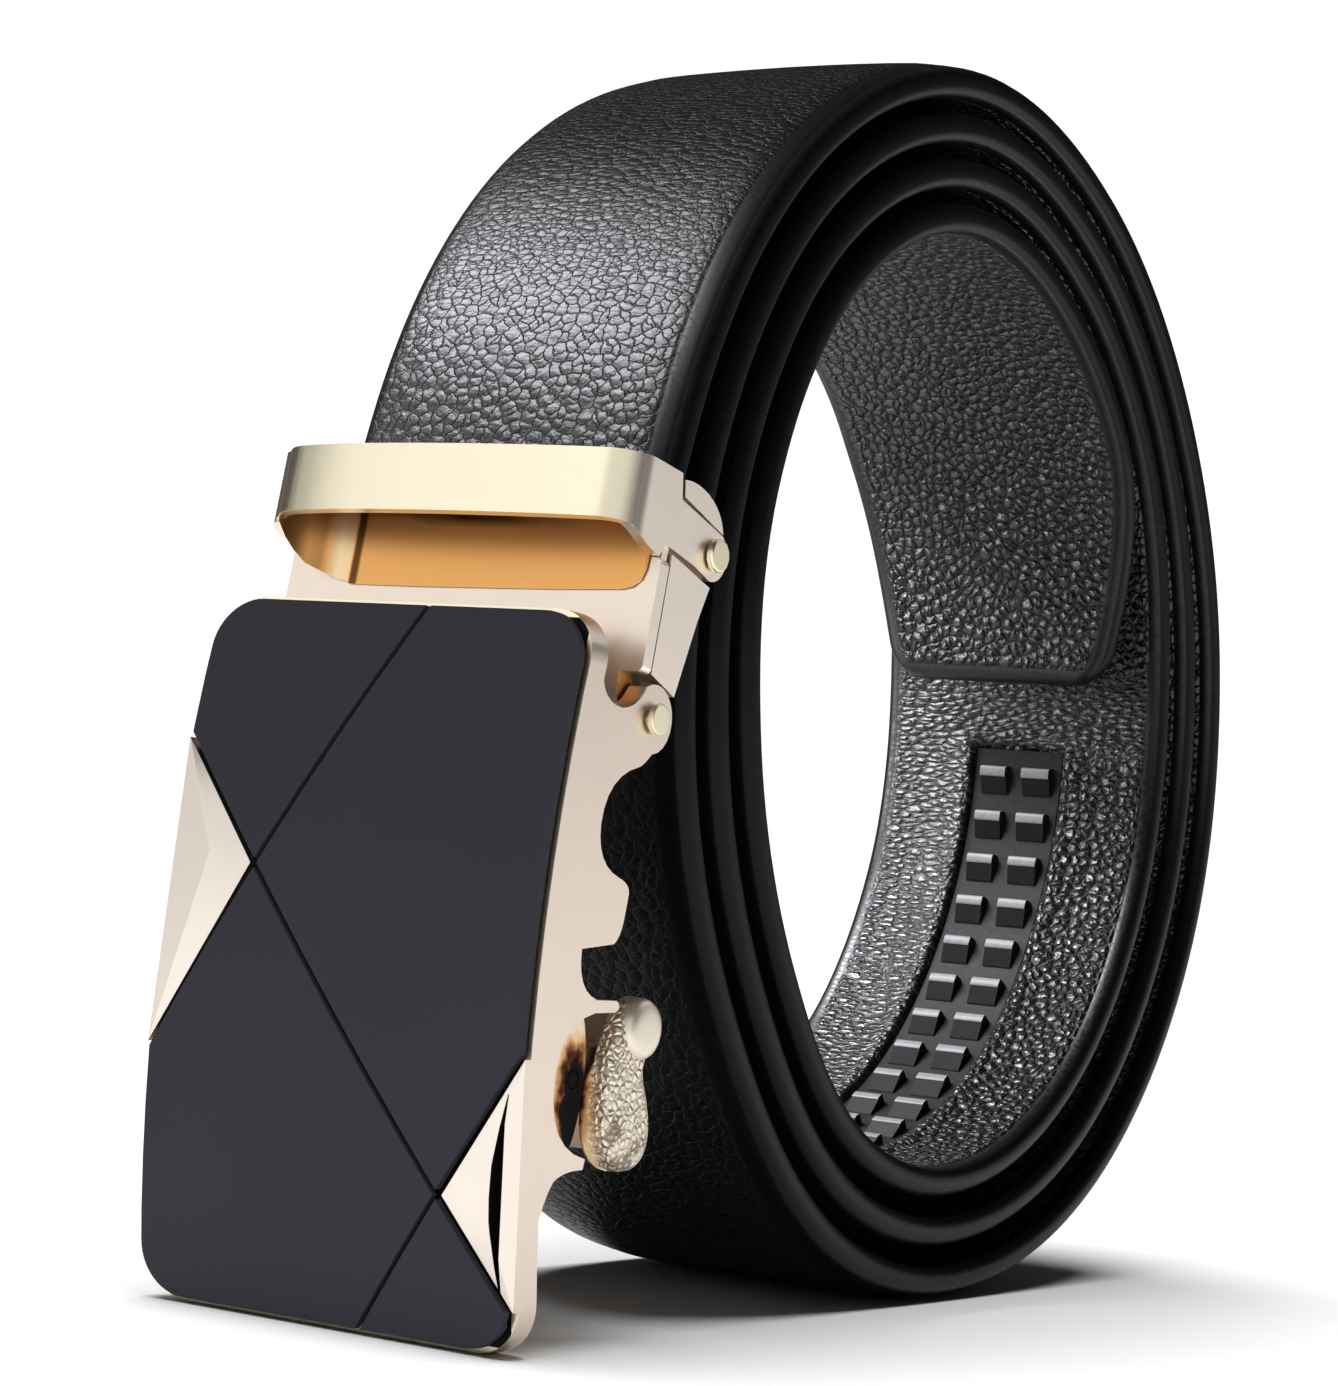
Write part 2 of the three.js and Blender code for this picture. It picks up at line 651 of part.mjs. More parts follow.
function makeKeeper() {
  const inner = CHEEK_OUT + GAP;
  const flanks = bothSides((side) => slab(keeperSide, inner, LOOP_OUT, side));
  const backEnds = upZ(rectangle(-REACH_X, REACH_X, -6, 12), 0, LOOP_TOP + 1).intersect(flanks);
  const band = upZ(keeperRing(), 0, LOOP_TOP + 1).intersect(acrossX(keeperSide, -REACH_X, REACH_X));
  const neck = rectangle(-inner - NECK_TIE, inner + NECK_TIE, NECK_LOW, NECK_HIGH);
  const thin = throughY(neck, NECK_STEP - CLAMP_FRONT, plateBack);
  const block = roundedRectangle(-LOOP_OUT, LOOP_OUT, BLOCK_LOW, BLOCK_HIGH, 0.6);
  const plate = throughY(block, -CLAMP_FRONT, plateBack);
  const tie = rectangle(NECK_STEP - CLAMP_FRONT, plateBack, BLOCK_HIGH + 1.4, NECK_HIGH);
  const ties = bothSides((side) => slab(tie, inner - 0.2, LOOP_OUT, side));
  const lugOut = WALL_IN - RUNNING_GAP;
  const lugs = bothSides((side) => slab(lug, lugOut - LUG_THICK, lugOut, side));
  const bores = bore(UPPER_PIN, PIN_RADIUS + RIVET_PLAY).add(bore({ y: 0, z: 0 }, PIN_RADIUS + RIVET_PLAY));
  return band.add(backEnds).add(thin).add(plate).add(lugs).add(ties).subtract(bores);
}

// Jaw seen from the side as (y, z): a cheek with a thicker arm below and a knuckle above
const jawFront = plateBack + GAP;
const jawCheek = outline([
  { to: [jawFront, 3.6] },
  { to: [2.6, 2.6] },
  { to: [4.2, 9.8] },
  { to: [5.4, 13.4] },
  { to: [6.8, 16] },
  { via: [6.4, 19], to: [3.2, 20.4] },
  { via: [0.6, 21.3], to: [jawFront, 20.9] },
]);
const jawArm = corners([[jawFront, 3.6], [2.6, 2.6], [4.2, 9.8], [5.2, 13.1], [jawFront, 14.2]]);
const jawKnuckle = outline([
  { to: [-1.1, 19.5] },
  { to: [5.9, 18.1] },
  { via: [5.2, 20], to: [2.6, 20.8] },
  { via: [0.4, 21.4], to: [-1.5, 20.9] },
]);

function makeJaw() {
  const root = 0.2;
  const cheeks = bothSides((side) => slab(jawCheek, CHEEK_IN, CHEEK_OUT, side));
  const arms = bothSides((side) => slab(jawArm, CHEEK_OUT - root, WALL_OUT, side));
  const knuckles = bothSides((side) => slab(jawKnuckle, CHEEK_OUT - root, WALL_OUT, side));
  const backing = rectangle(JAW_BACK, JAW_BACK + JAW_PLATE, JAW_LOW, JAW_HIGH);
  const back = acrossX(backing, -CHEEK_IN - root, CHEEK_IN + root);
  return arms.add(knuckles).add(cheeks).add(back).subtract(bore(UPPER_PIN, PIN_RADIUS + RIVET_PLAY));
}

// A rivet: a thin shank from inside the cheek and a round head on the outer side
function makeRivet(place, inner, head, side) {
  const shank = slab(disc(place.y, place.z, PIN_RADIUS), inner, RIVET_HEAD + head.thick / 2, side);
  return shank.add(slab(disc(place.y, place.z, head.radius), RIVET_HEAD, RIVET_HEAD + head.thick, side));
}

function addRivets(group, name, place, inner, head) {
  for (const [side, word] of [[1, 'right'], [-1, 'left']]) {
    const rivet = toGeometry(makeRivet(place, inner, head, side));
    addPiece(group, `${name}_${word}`, rivet, finish(PALE_GOLD, 0.3, 1));
  }
}

// Release lever

const leverBar = corners([
  [3, -25.2],
  [5.2, -25.2],
  [5.8, -31],
  [5.2, -36.6],
  [3.2, -37],
  [2.6, -31],
]);
const leverEar = outline([
  { to: [3.6, -27.5] },
  { to: [LEVER_PIN.y, -28.9] },
  { arc: { ...LEVER_PIN, radius: 2, from: 90, till: 270 } },
  { to: [3.6, -34.5] },
]);
const knobBody = outline([
  { to: [2.4, -28.4] },
  { via: [-1.9, -28.4], to: [-2.3, -33.2] },
  { via: [-2, -38.2], to: [2.6, -38.6] },
  { via: [6.6, -38.3], to: [6.5, -34] },
  { via: [6.2, -31], to: [5.4, -28.4] },
]);
const knobLobe = disc(3.6, -26.6, 2.9);

// A bar behind the plate with an ear at each end and a thumb knob outside the right wall
function makeLever() {
  const inner = WALL_IN - GAP;
  const bar = acrossX(leverBar, -inner, KNOB_OUT - 0.4);
  const ears = bothSides((side) => slab(leverEar, inner - LEVER_EAR, inner, side));
  const knob = acrossX(knobBody, WALL_IN + 0.2, KNOB_OUT);
  const lobe = acrossX(knobLobe, WALL_IN + 0.2, KNOB_OUT + 0.5);
  return bar.add(ears).add(knob).add(lobe).subtract(bore(LEVER_PIN, PIN_RADIUS + GAP));
}

const pawlSide = corners([
  [2.25, -28.4],
  [2.25, -33.6],
  [-3, -34.2],
  [-5, -33],
  [-5.9, -29.6],
  [-5.6, -28.4],
]);

// The wedge that catches the track's teeth, carried on the lever's bar
function makePawl() {
  return acrossX(pawlSide, -PAWL_WIDTH / 2, PAWL_WIDTH / 2).subtract(bore(LEVER_PIN, PIN_RADIUS + GAP));
}

// Assembly

const belt = new THREE.Group();
addPiece(belt, 'strap', makeStrap(), finish(LEATHER, 0.5, 0));
addPiece(belt, 'ratchet_track', makeTrack(), finish(NYLON, 0.4, 0));

const clamp = new THREE.Group();
clamp.position.set(0, HINGE.y, HINGE.z);
clamp.rotation.x = rad(-CLAMP_LEAN);
belt.add(clamp);
addPiece(clamp, 'keeper_loop', toGeometry(makeKeeper()), finish(PALE_GOLD, 0.3, 1));
addPiece(clamp, 'clamp_jaw', toGeometry(makeJaw()), finish(GOLD, 0.35, 1));
addRivets(clamp, 'jaw_rivet', UPPER_PIN, CHEEK_IN, { radius: 1.5, thick: 0.7 });

const frame = new THREE.Group();
frame.position.set(0, HINGE.y, HINGE.z);
frame.rotation.x = rad(-FRAME_LEAN);
belt.add(frame);
addPiece(frame, 'buckle_frame', toGeometry(makeFrame()), finish(GOLD, 0.35, 1));
makePanels(frame);
addRivets(frame, 'hinge_rivet', { y: 0, z: 0 }, HINGE_SHANK, { radius: 1.4, thick: 0.6 });
const pinReach = WALL_OUT - POCKET_DEPTH;
const leverPin = acrossX(disc(LEVER_PIN.y, LEVER_PIN.z, PIN_RADIUS), -pinReach, pinReach);
addPiece(frame, 'lever_pin', toGeometry(leverPin), finish(GOLD, 0.4, 1));
addPiece(frame, 'release_lever', toGeometry(makeLever()), finish(GOLD, 0.35, 1));
addPiece(frame, 'pawl', toGeometry(makePawl()), finish(GOLD, 0.4, 1));

// The coil rolls forward until the plate's lower edge meets the surface that it stands on
function lowest(group) {
  return new THREE.Box3().setFromObject(group, true).min.z;
}

const coil = belt.children.find((child) => child.name === 'strap');
function frontGap(roll) {
  belt.rotation.x = rad(roll);
  belt.updateMatrixWorld(true);
  return lowest(frame) - lowest(coil);
}

let least = 0;
let most = 20;
while (most - least > 0.001) {
  const middle = (least + most) / 2;
  if (frontGap(middle) > 0) least = middle;
  else most = middle;
}
belt.rotation.x = rad(least);
belt.updateMatrixWorld(true);
const box = new THREE.Box3().setFromObject(belt, true);
belt.position.set(-(box.min.x + box.max.x) / 2, -(box.min.y + box.max.y) / 2, -box.min.z);

const model = new THREE.Group();
model.add(belt);
export default model;
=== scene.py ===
# Dress belt with an automatic buckle, rolled up and standing on its edge.
# Metres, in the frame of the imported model: +Z is up, the strap's width runs along X, the buckle faces -Y.
import json
import math

import bpy
from mathutils import Matrix, Vector

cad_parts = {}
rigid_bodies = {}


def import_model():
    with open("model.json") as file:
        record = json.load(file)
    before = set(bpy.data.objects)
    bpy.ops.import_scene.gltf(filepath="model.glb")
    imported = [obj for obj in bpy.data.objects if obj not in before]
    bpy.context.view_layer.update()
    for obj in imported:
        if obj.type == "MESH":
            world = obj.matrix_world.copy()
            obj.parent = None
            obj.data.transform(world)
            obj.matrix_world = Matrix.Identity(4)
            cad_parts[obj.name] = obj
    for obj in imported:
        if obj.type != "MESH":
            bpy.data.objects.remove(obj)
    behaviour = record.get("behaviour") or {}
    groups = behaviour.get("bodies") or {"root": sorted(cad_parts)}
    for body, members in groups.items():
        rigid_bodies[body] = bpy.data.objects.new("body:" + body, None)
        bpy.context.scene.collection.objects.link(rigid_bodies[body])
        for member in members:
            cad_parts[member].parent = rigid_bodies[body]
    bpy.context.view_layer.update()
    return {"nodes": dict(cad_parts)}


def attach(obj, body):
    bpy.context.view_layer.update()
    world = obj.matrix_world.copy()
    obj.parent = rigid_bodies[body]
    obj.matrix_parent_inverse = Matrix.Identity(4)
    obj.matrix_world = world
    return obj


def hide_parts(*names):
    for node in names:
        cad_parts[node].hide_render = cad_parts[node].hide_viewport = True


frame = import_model()
nodes = frame["nodes"]
scene = bpy.context.scene
scene.view_settings.view_transform = "Standard"


# Camera
# It stands low in front of the belt and to its right, where the photograph was taken from, looks
# slightly up and is turned a little.
photo_width = 1338
focal_length_px = 3473
camera_place = Vector((0.18016, -0.30416, 0.04074))
camera_azimuth = math.radians(32.60)
camera_lift = math.radians(2.96)
camera_turn = math.radians(5.0)
camera_data = bpy.data.cameras.new("camera")
camera_data.sensor_fit = "HORIZONTAL"
camera_data.sensor_width = 36
camera_data.lens = camera_data.sensor_width * focal_length_px / photo_width
camera_data.clip_start = 0.01
camera = bpy.data.objects.new("camera", camera_data)
scene.collection.objects.link(camera)
aim = Matrix.Rotation(camera_azimuth, 4, "Z") @ Matrix.Rotation(math.radians(90) + camera_lift, 4, "X")
camera.matrix_world = Matrix.Translation(camera_place) @ aim @ Matrix.Rotation(camera_turn, 4, "Z")
scene.camera = camera


# Floor
# A wide pale table top, which fades into a white room.
def material(name):
    """A new material, its node tree and its shader."""
    made = bpy.data.materials.new(name)
    made.use_nodes = True
    return made, made.node_tree, made.node_tree.nodes["Principled BSDF"]


def feed(tree, socket, value):
    """Links a socket to another node's output, or sets it to a plain value."""
    if isinstance(value, bpy.types.NodeSocket):
        tree.links.new(value, socket)
    else:
        socket.default_value = value


def set_up(tree, node, **settings):
    """Feeds a node's inputs and sets its properties by name, with _ for a space."""
    for key, value in settings.items():
        socket = node.inputs.get(key.replace("_", " "))
        if socket is None:
            setattr(node, key, value)
        else:
            feed(tree, socket, value)
    return node


def add_node(tree, kind, **settings):
    """A new node, set up."""
    return set_up(tree, tree.nodes.new(kind), **settings)


def noise(tree, scale, detail, roughness=0.5):
    """Strength of a noise that lies over the piece's own coordinates."""
    place = add_node(tree, "ShaderNodeTexCoord").outputs["Object"]
    clouds = add_node(tree, "ShaderNodeTexNoise", Vector=place, Scale=scale, Detail=detail,
                      Roughness=roughness)
    return clouds.outputs["Fac"]


def remap(tree, value, low, high, start=0, end=1, curve="LINEAR"):
    """Turns a value that runs from start to end into one that runs from low to high."""
    node = add_node(tree, "ShaderNodeMapRange", interpolation_type=curve, Value=value,
                    From_Min=start, From_Max=end, To_Min=low, To_Max=high)
    return node.outputs["Result"]


bpy.ops.object.select_all(action="DESELECT")
bpy.ops.mesh.primitive_plane_add(size=30, location=(0, 0, 0))
floor = bpy.context.active_object
floor.name = "floor"
bpy.ops.object.mode_set(mode="EDIT")
bpy.ops.mesh.select_all(action="SELECT")
bpy.ops.mesh.subdivide(number_cuts=4)
bpy.ops.object.mode_set(mode="OBJECT")
pale, pale_tree, pale_shader = material("pale_table_top")
set_up(pale_tree, pale_shader, Roughness=0.9, Specular_IOR_Level=0.1,
       Base_Color=remap(pale_tree, noise(pale_tree, 40, 2), 0.9, 0.94))
floor.data.materials.append(pale)


# Strap
# A long band of black leather glued round a core: domed and grained on its outer side, with
# smooth pressed margins and painted edges. It is rolled up with the grain outwards.
# Lengths are in millimetres, and angles in degrees round the coil, from the front over the top
mm = 0.001
strap_width = 35
strap_thick = 3.8
coil_turns = 3.5
coil_start = 8
tip_overrun = 1
lead_out = 4.2
lead_angle = 30
tip_taper_length = 28
tip_taper = 4.5
tip_corner = 4
tip_round = 1.6
tip_thinning = 0.85
track_start = 911
tooth_count = 28
tooth_pitch = 5.4
groove_half = 5.8
groove_depth = 1.0
coil_centre = Vector((-0.075, 8.624, 59.776))
coil_roll = Matrix.Rotation(math.radians(9.274), 3, "X")
# Outer radius before it winds inwards, and the step from turn to turn, every 30 degrees from the
# front over the top, in millimetres.
coil_outer = (62.3, 64.3, 66.05, 66.1, 63.8, 62.9, 65.3, 67.65, 67.05, 64.2, 62.7, 60.75)
coil_step = (5.6, 5.0, 4.5, 4.45, 4.75, 5.3, 7.0, 7.3, 6.4, 5.1, 4.9, 5.3)


def select_only(piece):
    bpy.ops.object.select_all(action="DESELECT")
    piece.select_set(True)
    bpy.context.view_layer.objects.active = piece


def round_value(values, angle):
    """Smooth value at any angle of a list that goes once round the coil."""
    spot = angle * len(values) / 360
    i = math.floor(spot)
    t = spot - i
    before, here, after, beyond = (values[(i + k) % len(values)] for k in (-1, 0, 1, 2))
    slope_here = (after - before) / 2
    slope_after = (beyond - here) / 2
    return ((2 * t ** 3 - 3 * t ** 2 + 1) * here + (t ** 3 - 2 * t ** 2 + t) * slope_here
            + (3 * t ** 2 - 2 * t ** 3) * after + (t ** 3 - t ** 2) * slope_after)


def strap_radius(angle):
    lead = max(0, 1 - angle / lead_angle)
    return round_value(coil_outer, angle) - round_value(coil_step, angle) * angle / 360 + lead_out * lead ** 2


def strap_point(angle):
    radius = strap_radius(angle)
    turn = math.radians(angle)
    return Vector((0, -radius * math.cos(turn), radius * math.sin(turn)))


def strap_place(angle, x, height):
    """Place in metres of a point on the strap: x across it, height over its inner face."""
    along = (strap_point(angle + 0.5) - strap_point(angle - 0.5)).normalized()
    inward = Vector((0, along.z, -along.y))
    spot = strap_point(angle) + inward * (strap_thick - height)
    spot.x = x
    return (coil_roll @ spot + coil_centre) * mm


def ramp(value, start, end):
    """0 before start, 1 after end, and a smooth step between them."""
    share = min(1, max(0, (value - start) / (end - start)))
    return share * share * (3 - 2 * share)


def walk(angle, length):
    """Angle after walking a length along the middle of the strap, half a millimetre at a time."""
    steps = math.ceil(abs(length) / 0.5)
    for _ in range(steps):
        angle += math.degrees(length / steps / (strap_radius(angle) - strap_thick / 2))
    return angle


coil_end = coil_turns * 360 + tip_overrun
track_end = walk(track_start, tooth_count * tooth_pitch)
tip_start = walk(coil_end, -tip_taper_length)


def half_width(angle):
    """Half the strap's width: constant, then the tip's taper and its round corners."""
    edge = strap_width / 2
    if angle < tip_start:
        return edge
    taper = (angle - tip_start) / (coil_end - tip_start)
    from_end = (1 - taper) * tip_taper_length
    narrowed = edge - tip_taper * taper ** 1.5
    if from_end >= tip_corner:
        return narrowed
    run = 1 - from_end / tip_corner
    return narrowed - tip_corner * (1 - math.sqrt(max(0, 1 - run ** 2)))


# Distance in from the edge and height over the inner face: up the edge and over the margin, then
# the dome by its share of what is left, and down the edge to the inner face
margin_profile = ((0, 1.5), (0, 1.9), (0.12, 2.3), (0.4, 2.65), (0.85, 2.9), (1.4, 3.07), (2.1, 3.2),
                  (2.7, 3.29), (3.1, 3.32), (3.5, 3.4), (4.4, 3.52))
dome_profile = ((0.85, 3.62), (0.6, 3.71), (0.35, 3.77), (0.15, 3.79))
under_profile = ((0, 1.1), (0.1, 0.65), (0.35, 0.3), (0.75, 0.1), (1.3, -0.02), (1.9, 0), (3.2, 0.02),
                 (5, 0.03))
# Distance out from the window of the track and height of the lip round it
lip_profile = ((2.1, 0), (1.6, -0.22), (1.0, -0.34), (0.3, -0.3), (0, 0))


def strap_section(edge, groove):
    """Closed section of the strap: x across it and height over its inner face."""
    narrowing = 2 * edge / strap_width
    margin = [(edge - inset, height) for inset, height in margin_profile]
    dome = [(share * (edge - margin_profile[-1][0]), height) for share, height in dome_profile]
    under = [(edge - inset, height) for inset, height in under_profile]
    lip = [((groove_half + out) * narrowing, height * groove / groove_depth) for out, height in lip_profile]
    top = margin + dome
    below = under + lip + [(groove_half * narrowing, groove)]
    return (top + [(0, strap_thick)] + [(-x, height) for x, height in reversed(top)]
            + [(-x, height) for x, height in below] + [(0, groove)] + below[::-1])


# Sections stand this far apart, and closer by the tip: at these distances from its end
ring_step = 2.0
tip_rings = (28, 25, 22, 19, 16, 13, 10, 8, 6.5, 5.2, 4, 3.3, 2.6, 2, 1.5, 1.1, 0.75, 0.45, 0.2, 0.05)
# Where the groove's end walls start and stop, in degrees beyond the track
groove_near, groove_far = 0.4, 1
# The grain is stretched over the top of the roll, left of the track and just under the tip: where
# the stretch sets in or fades, in degrees along the strap and, left of the track, millimetres
pulled_over_top = (28, 62)
outer_top_end = 200
pulled_by_track = (895, 905)
pulled_left = (4, 8)
pulled_under_tip = (908, 915)
inner_grain_end = 1100
# How much nearer the left edge the grain goes on the outer side
left_grain_reach = 1.9
# Columns of faces on each side of an edge that its paint covers
edge_columns = 3
angles = []
angle = coil_start
while angle < tip_start:
    angles.append(angle)
    angle = walk(angle, ring_step)
angles += [walk(coil_end, -back) for back in tip_rings]
groove_ends = (track_start - groove_far, track_start - groove_near, track_end + groove_near,
               track_end + groove_far)
angles = [a for a in angles if all(abs(a - stop) > groove_near for stop in groove_ends)]
angles = sorted(angles + list(groove_ends))

section_size = len(strap_section(strap_width / 2, 0))
top_size = 2 * (len(margin_profile) + len(dome_profile)) + 1
bpy.ops.object.select_all(action="DESELECT")
bpy.ops.mesh.primitive_grid_add(x_subdivisions=section_size, y_subdivisions=len(angles) - 1, size=1)
strap = bpy.context.active_object
strap.name = "leather_strap"
strap_mesh = strap.data
from_edge = strap_mesh.attributes.new("from_edge", "FLOAT", "POINT")
pulled = strap_mesh.attributes.new("pulled", "FLOAT", "POINT")
on_strap = []
travelled = 0
for k, angle in enumerate(angles):
    middle_radius = strap_radius(angle) - strap_thick / 2
    if k:
        travelled += math.radians(angle - angles[k - 1]) * middle_radius
    to_end = math.radians(coil_end - angle) * middle_radius
    rounding = max(0, 1 - to_end / tip_round)
    squeeze = tip_thinning * (1 - math.sqrt(1 - rounding ** 2))
    in_groove = groove_ends[0] < angle < groove_ends[3]
    over_top = ramp(angle, *pulled_over_top) if angle < outer_top_end else 0
    by_track = ramp(angle, *pulled_by_track) if angle < inner_grain_end else 0
    under_tip = 1 - ramp(angle, *pulled_under_tip)
    edge = half_width(angle)
    section = strap_section(edge, groove_depth if in_groove else 0)
    for j, (x, height) in enumerate(section + section[:1]):
        height += (strap_thick / 2 - height) * squeeze
        spot = k * (section_size + 1) + j
        strap_mesh.vertices[spot].co = strap_place(angle, x, height)
        on_top = j < top_size
        reach = left_grain_reach if x < 0 and on_top else 0
        from_edge.data[spot].value = min(edge - abs(x) + reach, to_end)
        pulled.data[spot].value = over_top if on_top else by_track * max(ramp(-x, *pulled_left), under_tip)
        on_strap.append((travelled * mm, x * mm))
strap_uv = strap_mesh.uv_layers.active or strap_mesh.uv_layers.new(name="along_and_across")
strap_uv.name = "along_and_across"
for loop in strap_mesh.loops:
    strap_uv.data[loop.index].uv = on_strap[loop.vertex_index]
for face in strap_mesh.polygons:
    column = face.index % section_size
    beside_edge = min(abs(column - top_size + 1), column, section_size - column)
    if beside_edge <= edge_columns:
        face.material_index = 2
    elif column < top_size:
        face.material_index = 0
    else:
        face.material_index = 1
select_only(strap)
bpy.ops.object.mode_set(mode="EDIT")
bpy.ops.mesh.select_all(action="SELECT")
bpy.ops.mesh.remove_doubles(threshold=1e-6)
bpy.ops.mesh.fill_holes(sides=0)
bpy.ops.mesh.normals_make_consistent(inside=False)
bpy.ops.object.mode_set(mode="OBJECT")
bpy.ops.object.shade_smooth()


def calculate(tree, operation, *values, kind="ShaderNodeMath"):
    """Result of a math node whose inputs are fed in order."""
    node = add_node(tree, kind, operation=operation)
    for socket, value in zip(node.inputs, values):
        feed(tree, socket, value)
    return node.outputs[0]


def blend(tree, share, low, high):
    """Colour between two others, by a share."""
    return add_node(tree, "ShaderNodeMix", data_type="RGBA", Factor=share, A=low, B=high).outputs["Result"]


def relief(tree, height, depth):
    """Normal of a surface whose height, from 0 to 1, is drawn to a depth in millimetres."""
    return add_node(tree, "ShaderNodeBump", Distance=depth * mm, Height=height).outputs["Normal"]


# Length and width of a round grain and of one that is pulled, and how much wider its creases are
round_cell = (1, 1.1)
long_cell = (0.6, 1.5)
long_crease = 1.5
# How far the grain takes to fade in beyond the margin, and how much earlier its shine begins
margin_fade = 0.7
shine_lead = 0.6
crease_roughness = 0.15


def leather(name, cell, crease, grain_depth, pulled_depth, smooth_to, pebble, dusting, roughness, shine,
            crease_shine, pulled_shine, margin_shine):
    """Black leather whose grain is drawn on the strap's own map and dies out towards the edge.

    cell is the grain's size and smooth_to the width of the plain margin, both in millimetres, and
    crease the creases' width as a share of the size. pebble is how far a grain swells above its
    creases, and dusting how coarse its skin is. Where the leather is pulled, its grain keeps
    pulled_depth of its height. Creases, pulled grain and margins have their own share of the shine;
    the creases' lower shine and darker colour are painted shade.
    """
    made, tree, shader = material(name)
    strap_map = add_node(tree, "ShaderNodeUVMap", uv_map="along_and_across").outputs["UV"]

    def grain_of(along, across, crease_width, depth):
        """Height of the grain and its pads, for cells with this length and width."""
        fit = add_node(tree, "ShaderNodeMapping", Vector=strap_map,
                       Scale=(1000 / (cell * along), 1000 / (cell * across), 1)).outputs["Vector"]
        sway = add_node(tree, "ShaderNodeTexNoise", noise_dimensions="2D", Vector=fit, Scale=1.3, Detail=2,
                        Roughness=0.55)
        pull = add_node(tree, "ShaderNodeVectorMath", operation="SCALE", Vector=sway.outputs["Color"],
                        Scale=0.6)
        bent = calculate(tree, "ADD", fit, pull.outputs["Vector"], kind="ShaderNodeVectorMath")
        cells = add_node(tree, "ShaderNodeTexVoronoi", voronoi_dimensions="2D", feature="DISTANCE_TO_EDGE",
                         Vector=bent, Scale=1)
        pebbles = add_node(tree, "ShaderNodeTexVoronoi", voronoi_dimensions="2D", feature="F1",
                           Vector=bent, Scale=1)
        dust = add_node(tree, "ShaderNodeTexNoise", noise_dimensions="2D", Vector=bent, Scale=1.6, Detail=3,
                        Roughness=0.6)
        pads = remap(tree, cells.outputs["Distance"], 0, 1, end=crease_width, curve="SMOOTHSTEP")
        dome = remap(tree, pebbles.outputs["Distance"], pebble, 0, end=0.8, curve="SMOOTHSTEP")
        domed = calculate(tree, "ADD", pads, dome)
        coarse = calculate(tree, "MULTIPLY_ADD", dust.outputs["Fac"], dusting, domed)
        return calculate(tree, "MULTIPLY", coarse, depth), pads

    stretch = add_node(tree, "ShaderNodeAttribute", attribute_name="pulled").outputs["Fac"]
    inset = add_node(tree, "ShaderNodeAttribute", attribute_name="from_edge").outputs["Fac"]
    round_grain = grain_of(*round_cell, crease, 1)
    long_grain = grain_of(*long_cell, crease * long_crease, pulled_depth)
    height, pads = (add_node(tree, "ShaderNodeMix", Factor=stretch, A=plain, B=long).outputs["Result"]
                    for plain, long in zip(round_grain, long_grain))
    grain_at = smooth_to + margin_fade
    off_margin = remap(tree, inset, 0, 1, smooth_to, grain_at, "SMOOTHSTEP")
    # Creases are painted darker and given a lower share of the shine, as painted shade
    pad_shine = remap(tree, pads, shine * crease_shine, shine, curve="SMOOTHSTEP")
    grain_shine = calculate(tree, "MULTIPLY", pad_shine, remap(tree, stretch, 1, pulled_shine))
    set_up(tree, shader,
           Base_Color=blend(tree, pads, (0.001, 0.001, 0.001, 1), (0.003, 0.003, 0.0034, 1)),
           Specular_IOR_Level=remap(tree, inset, margin_shine, grain_shine, smooth_to - shine_lead, grain_at,
                                    "SMOOTHSTEP"),
           Roughness=remap(tree, pads, roughness + crease_roughness, roughness),
           Normal=relief(tree, calculate(tree, "MULTIPLY", height, off_margin), grain_depth))
    return made


strap_mesh.materials.append(leather(
    "grained_leather", cell=1.08, crease=0.09, grain_depth=0.055, pulled_depth=0.85, smooth_to=2.6, pebble=1,
    dusting=0.4, roughness=0.34, shine=0.19, crease_shine=0.55, pulled_shine=0.4, margin_shine=0.06))
strap_mesh.materials.append(leather(
    "backing_leather", cell=1.1, crease=0.25, grain_depth=0.2, pulled_depth=0.5, smooth_to=1.6, pebble=1.3,
    dusting=0.7, roughness=0.32, shine=0.7, crease_shine=0.4, pulled_shine=1.55, margin_shine=0.38))
painted, painted_tree, painted_shader = material("painted_leather_edge")
brush = noise(painted_tree, 900, 3)
set_up(painted_tree, painted_shader, Specular_IOR_Level=0.14,
       Base_Color=remap(painted_tree, brush, 0.003, 0.006), Roughness=remap(painted_tree, brush, 0.34, 0.46))
strap_mesh.materials.append(painted)
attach(strap, "belt")
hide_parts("strap")


# Ratchet track
# A black nylon strip let into the strap's inner face. Two columns of wedge teeth stand on it,
# and the pawl in the buckle catches them. It is moulded in one piece and glued in its groove.
track_half = 5.5
track_floor = 0.7
track_base = 0.5
tooth_height = 1.2
tooth_root = 0.1
tooth_columns = ((-4.3, -1.1), (0.95, 4.4))
# Share of the pitch and share of the tooth's height: steep face, round crest, long slope
tooth_profile = ((0.36, 0), (0.38, 0.7), (0.4, 0.92), (0.43, 1), (0.5, 1), (0.57, 0.98), (0.61, 0.9),
                 (0.63, 0.75), (0.96, 0.2), (0.985, 0))
crest_rows = (1, 6)


def nylon(name, tones, glosses):
    """Moulded nylon with a fine dusty grain."""
    made, tree, shader = material(name)
    grain = noise(tree, 1500, 3)
    set_up(tree, shader, Specular_IOR_Level=0.14, Base_Color=remap(tree, grain, *tones),
           Roughness=remap(tree, grain, *glosses), Normal=relief(tree, grain, 0.03))
    return made


black_nylon = nylon("black_nylon", (0.007, 0.018), (0.5, 0.7))
# Lighter nylon for the teeth's crests: a painted highlight
crest_highlight_nylon = nylon("painted_crest_highlight", (0.12, 0.22), (0.3, 0.42))


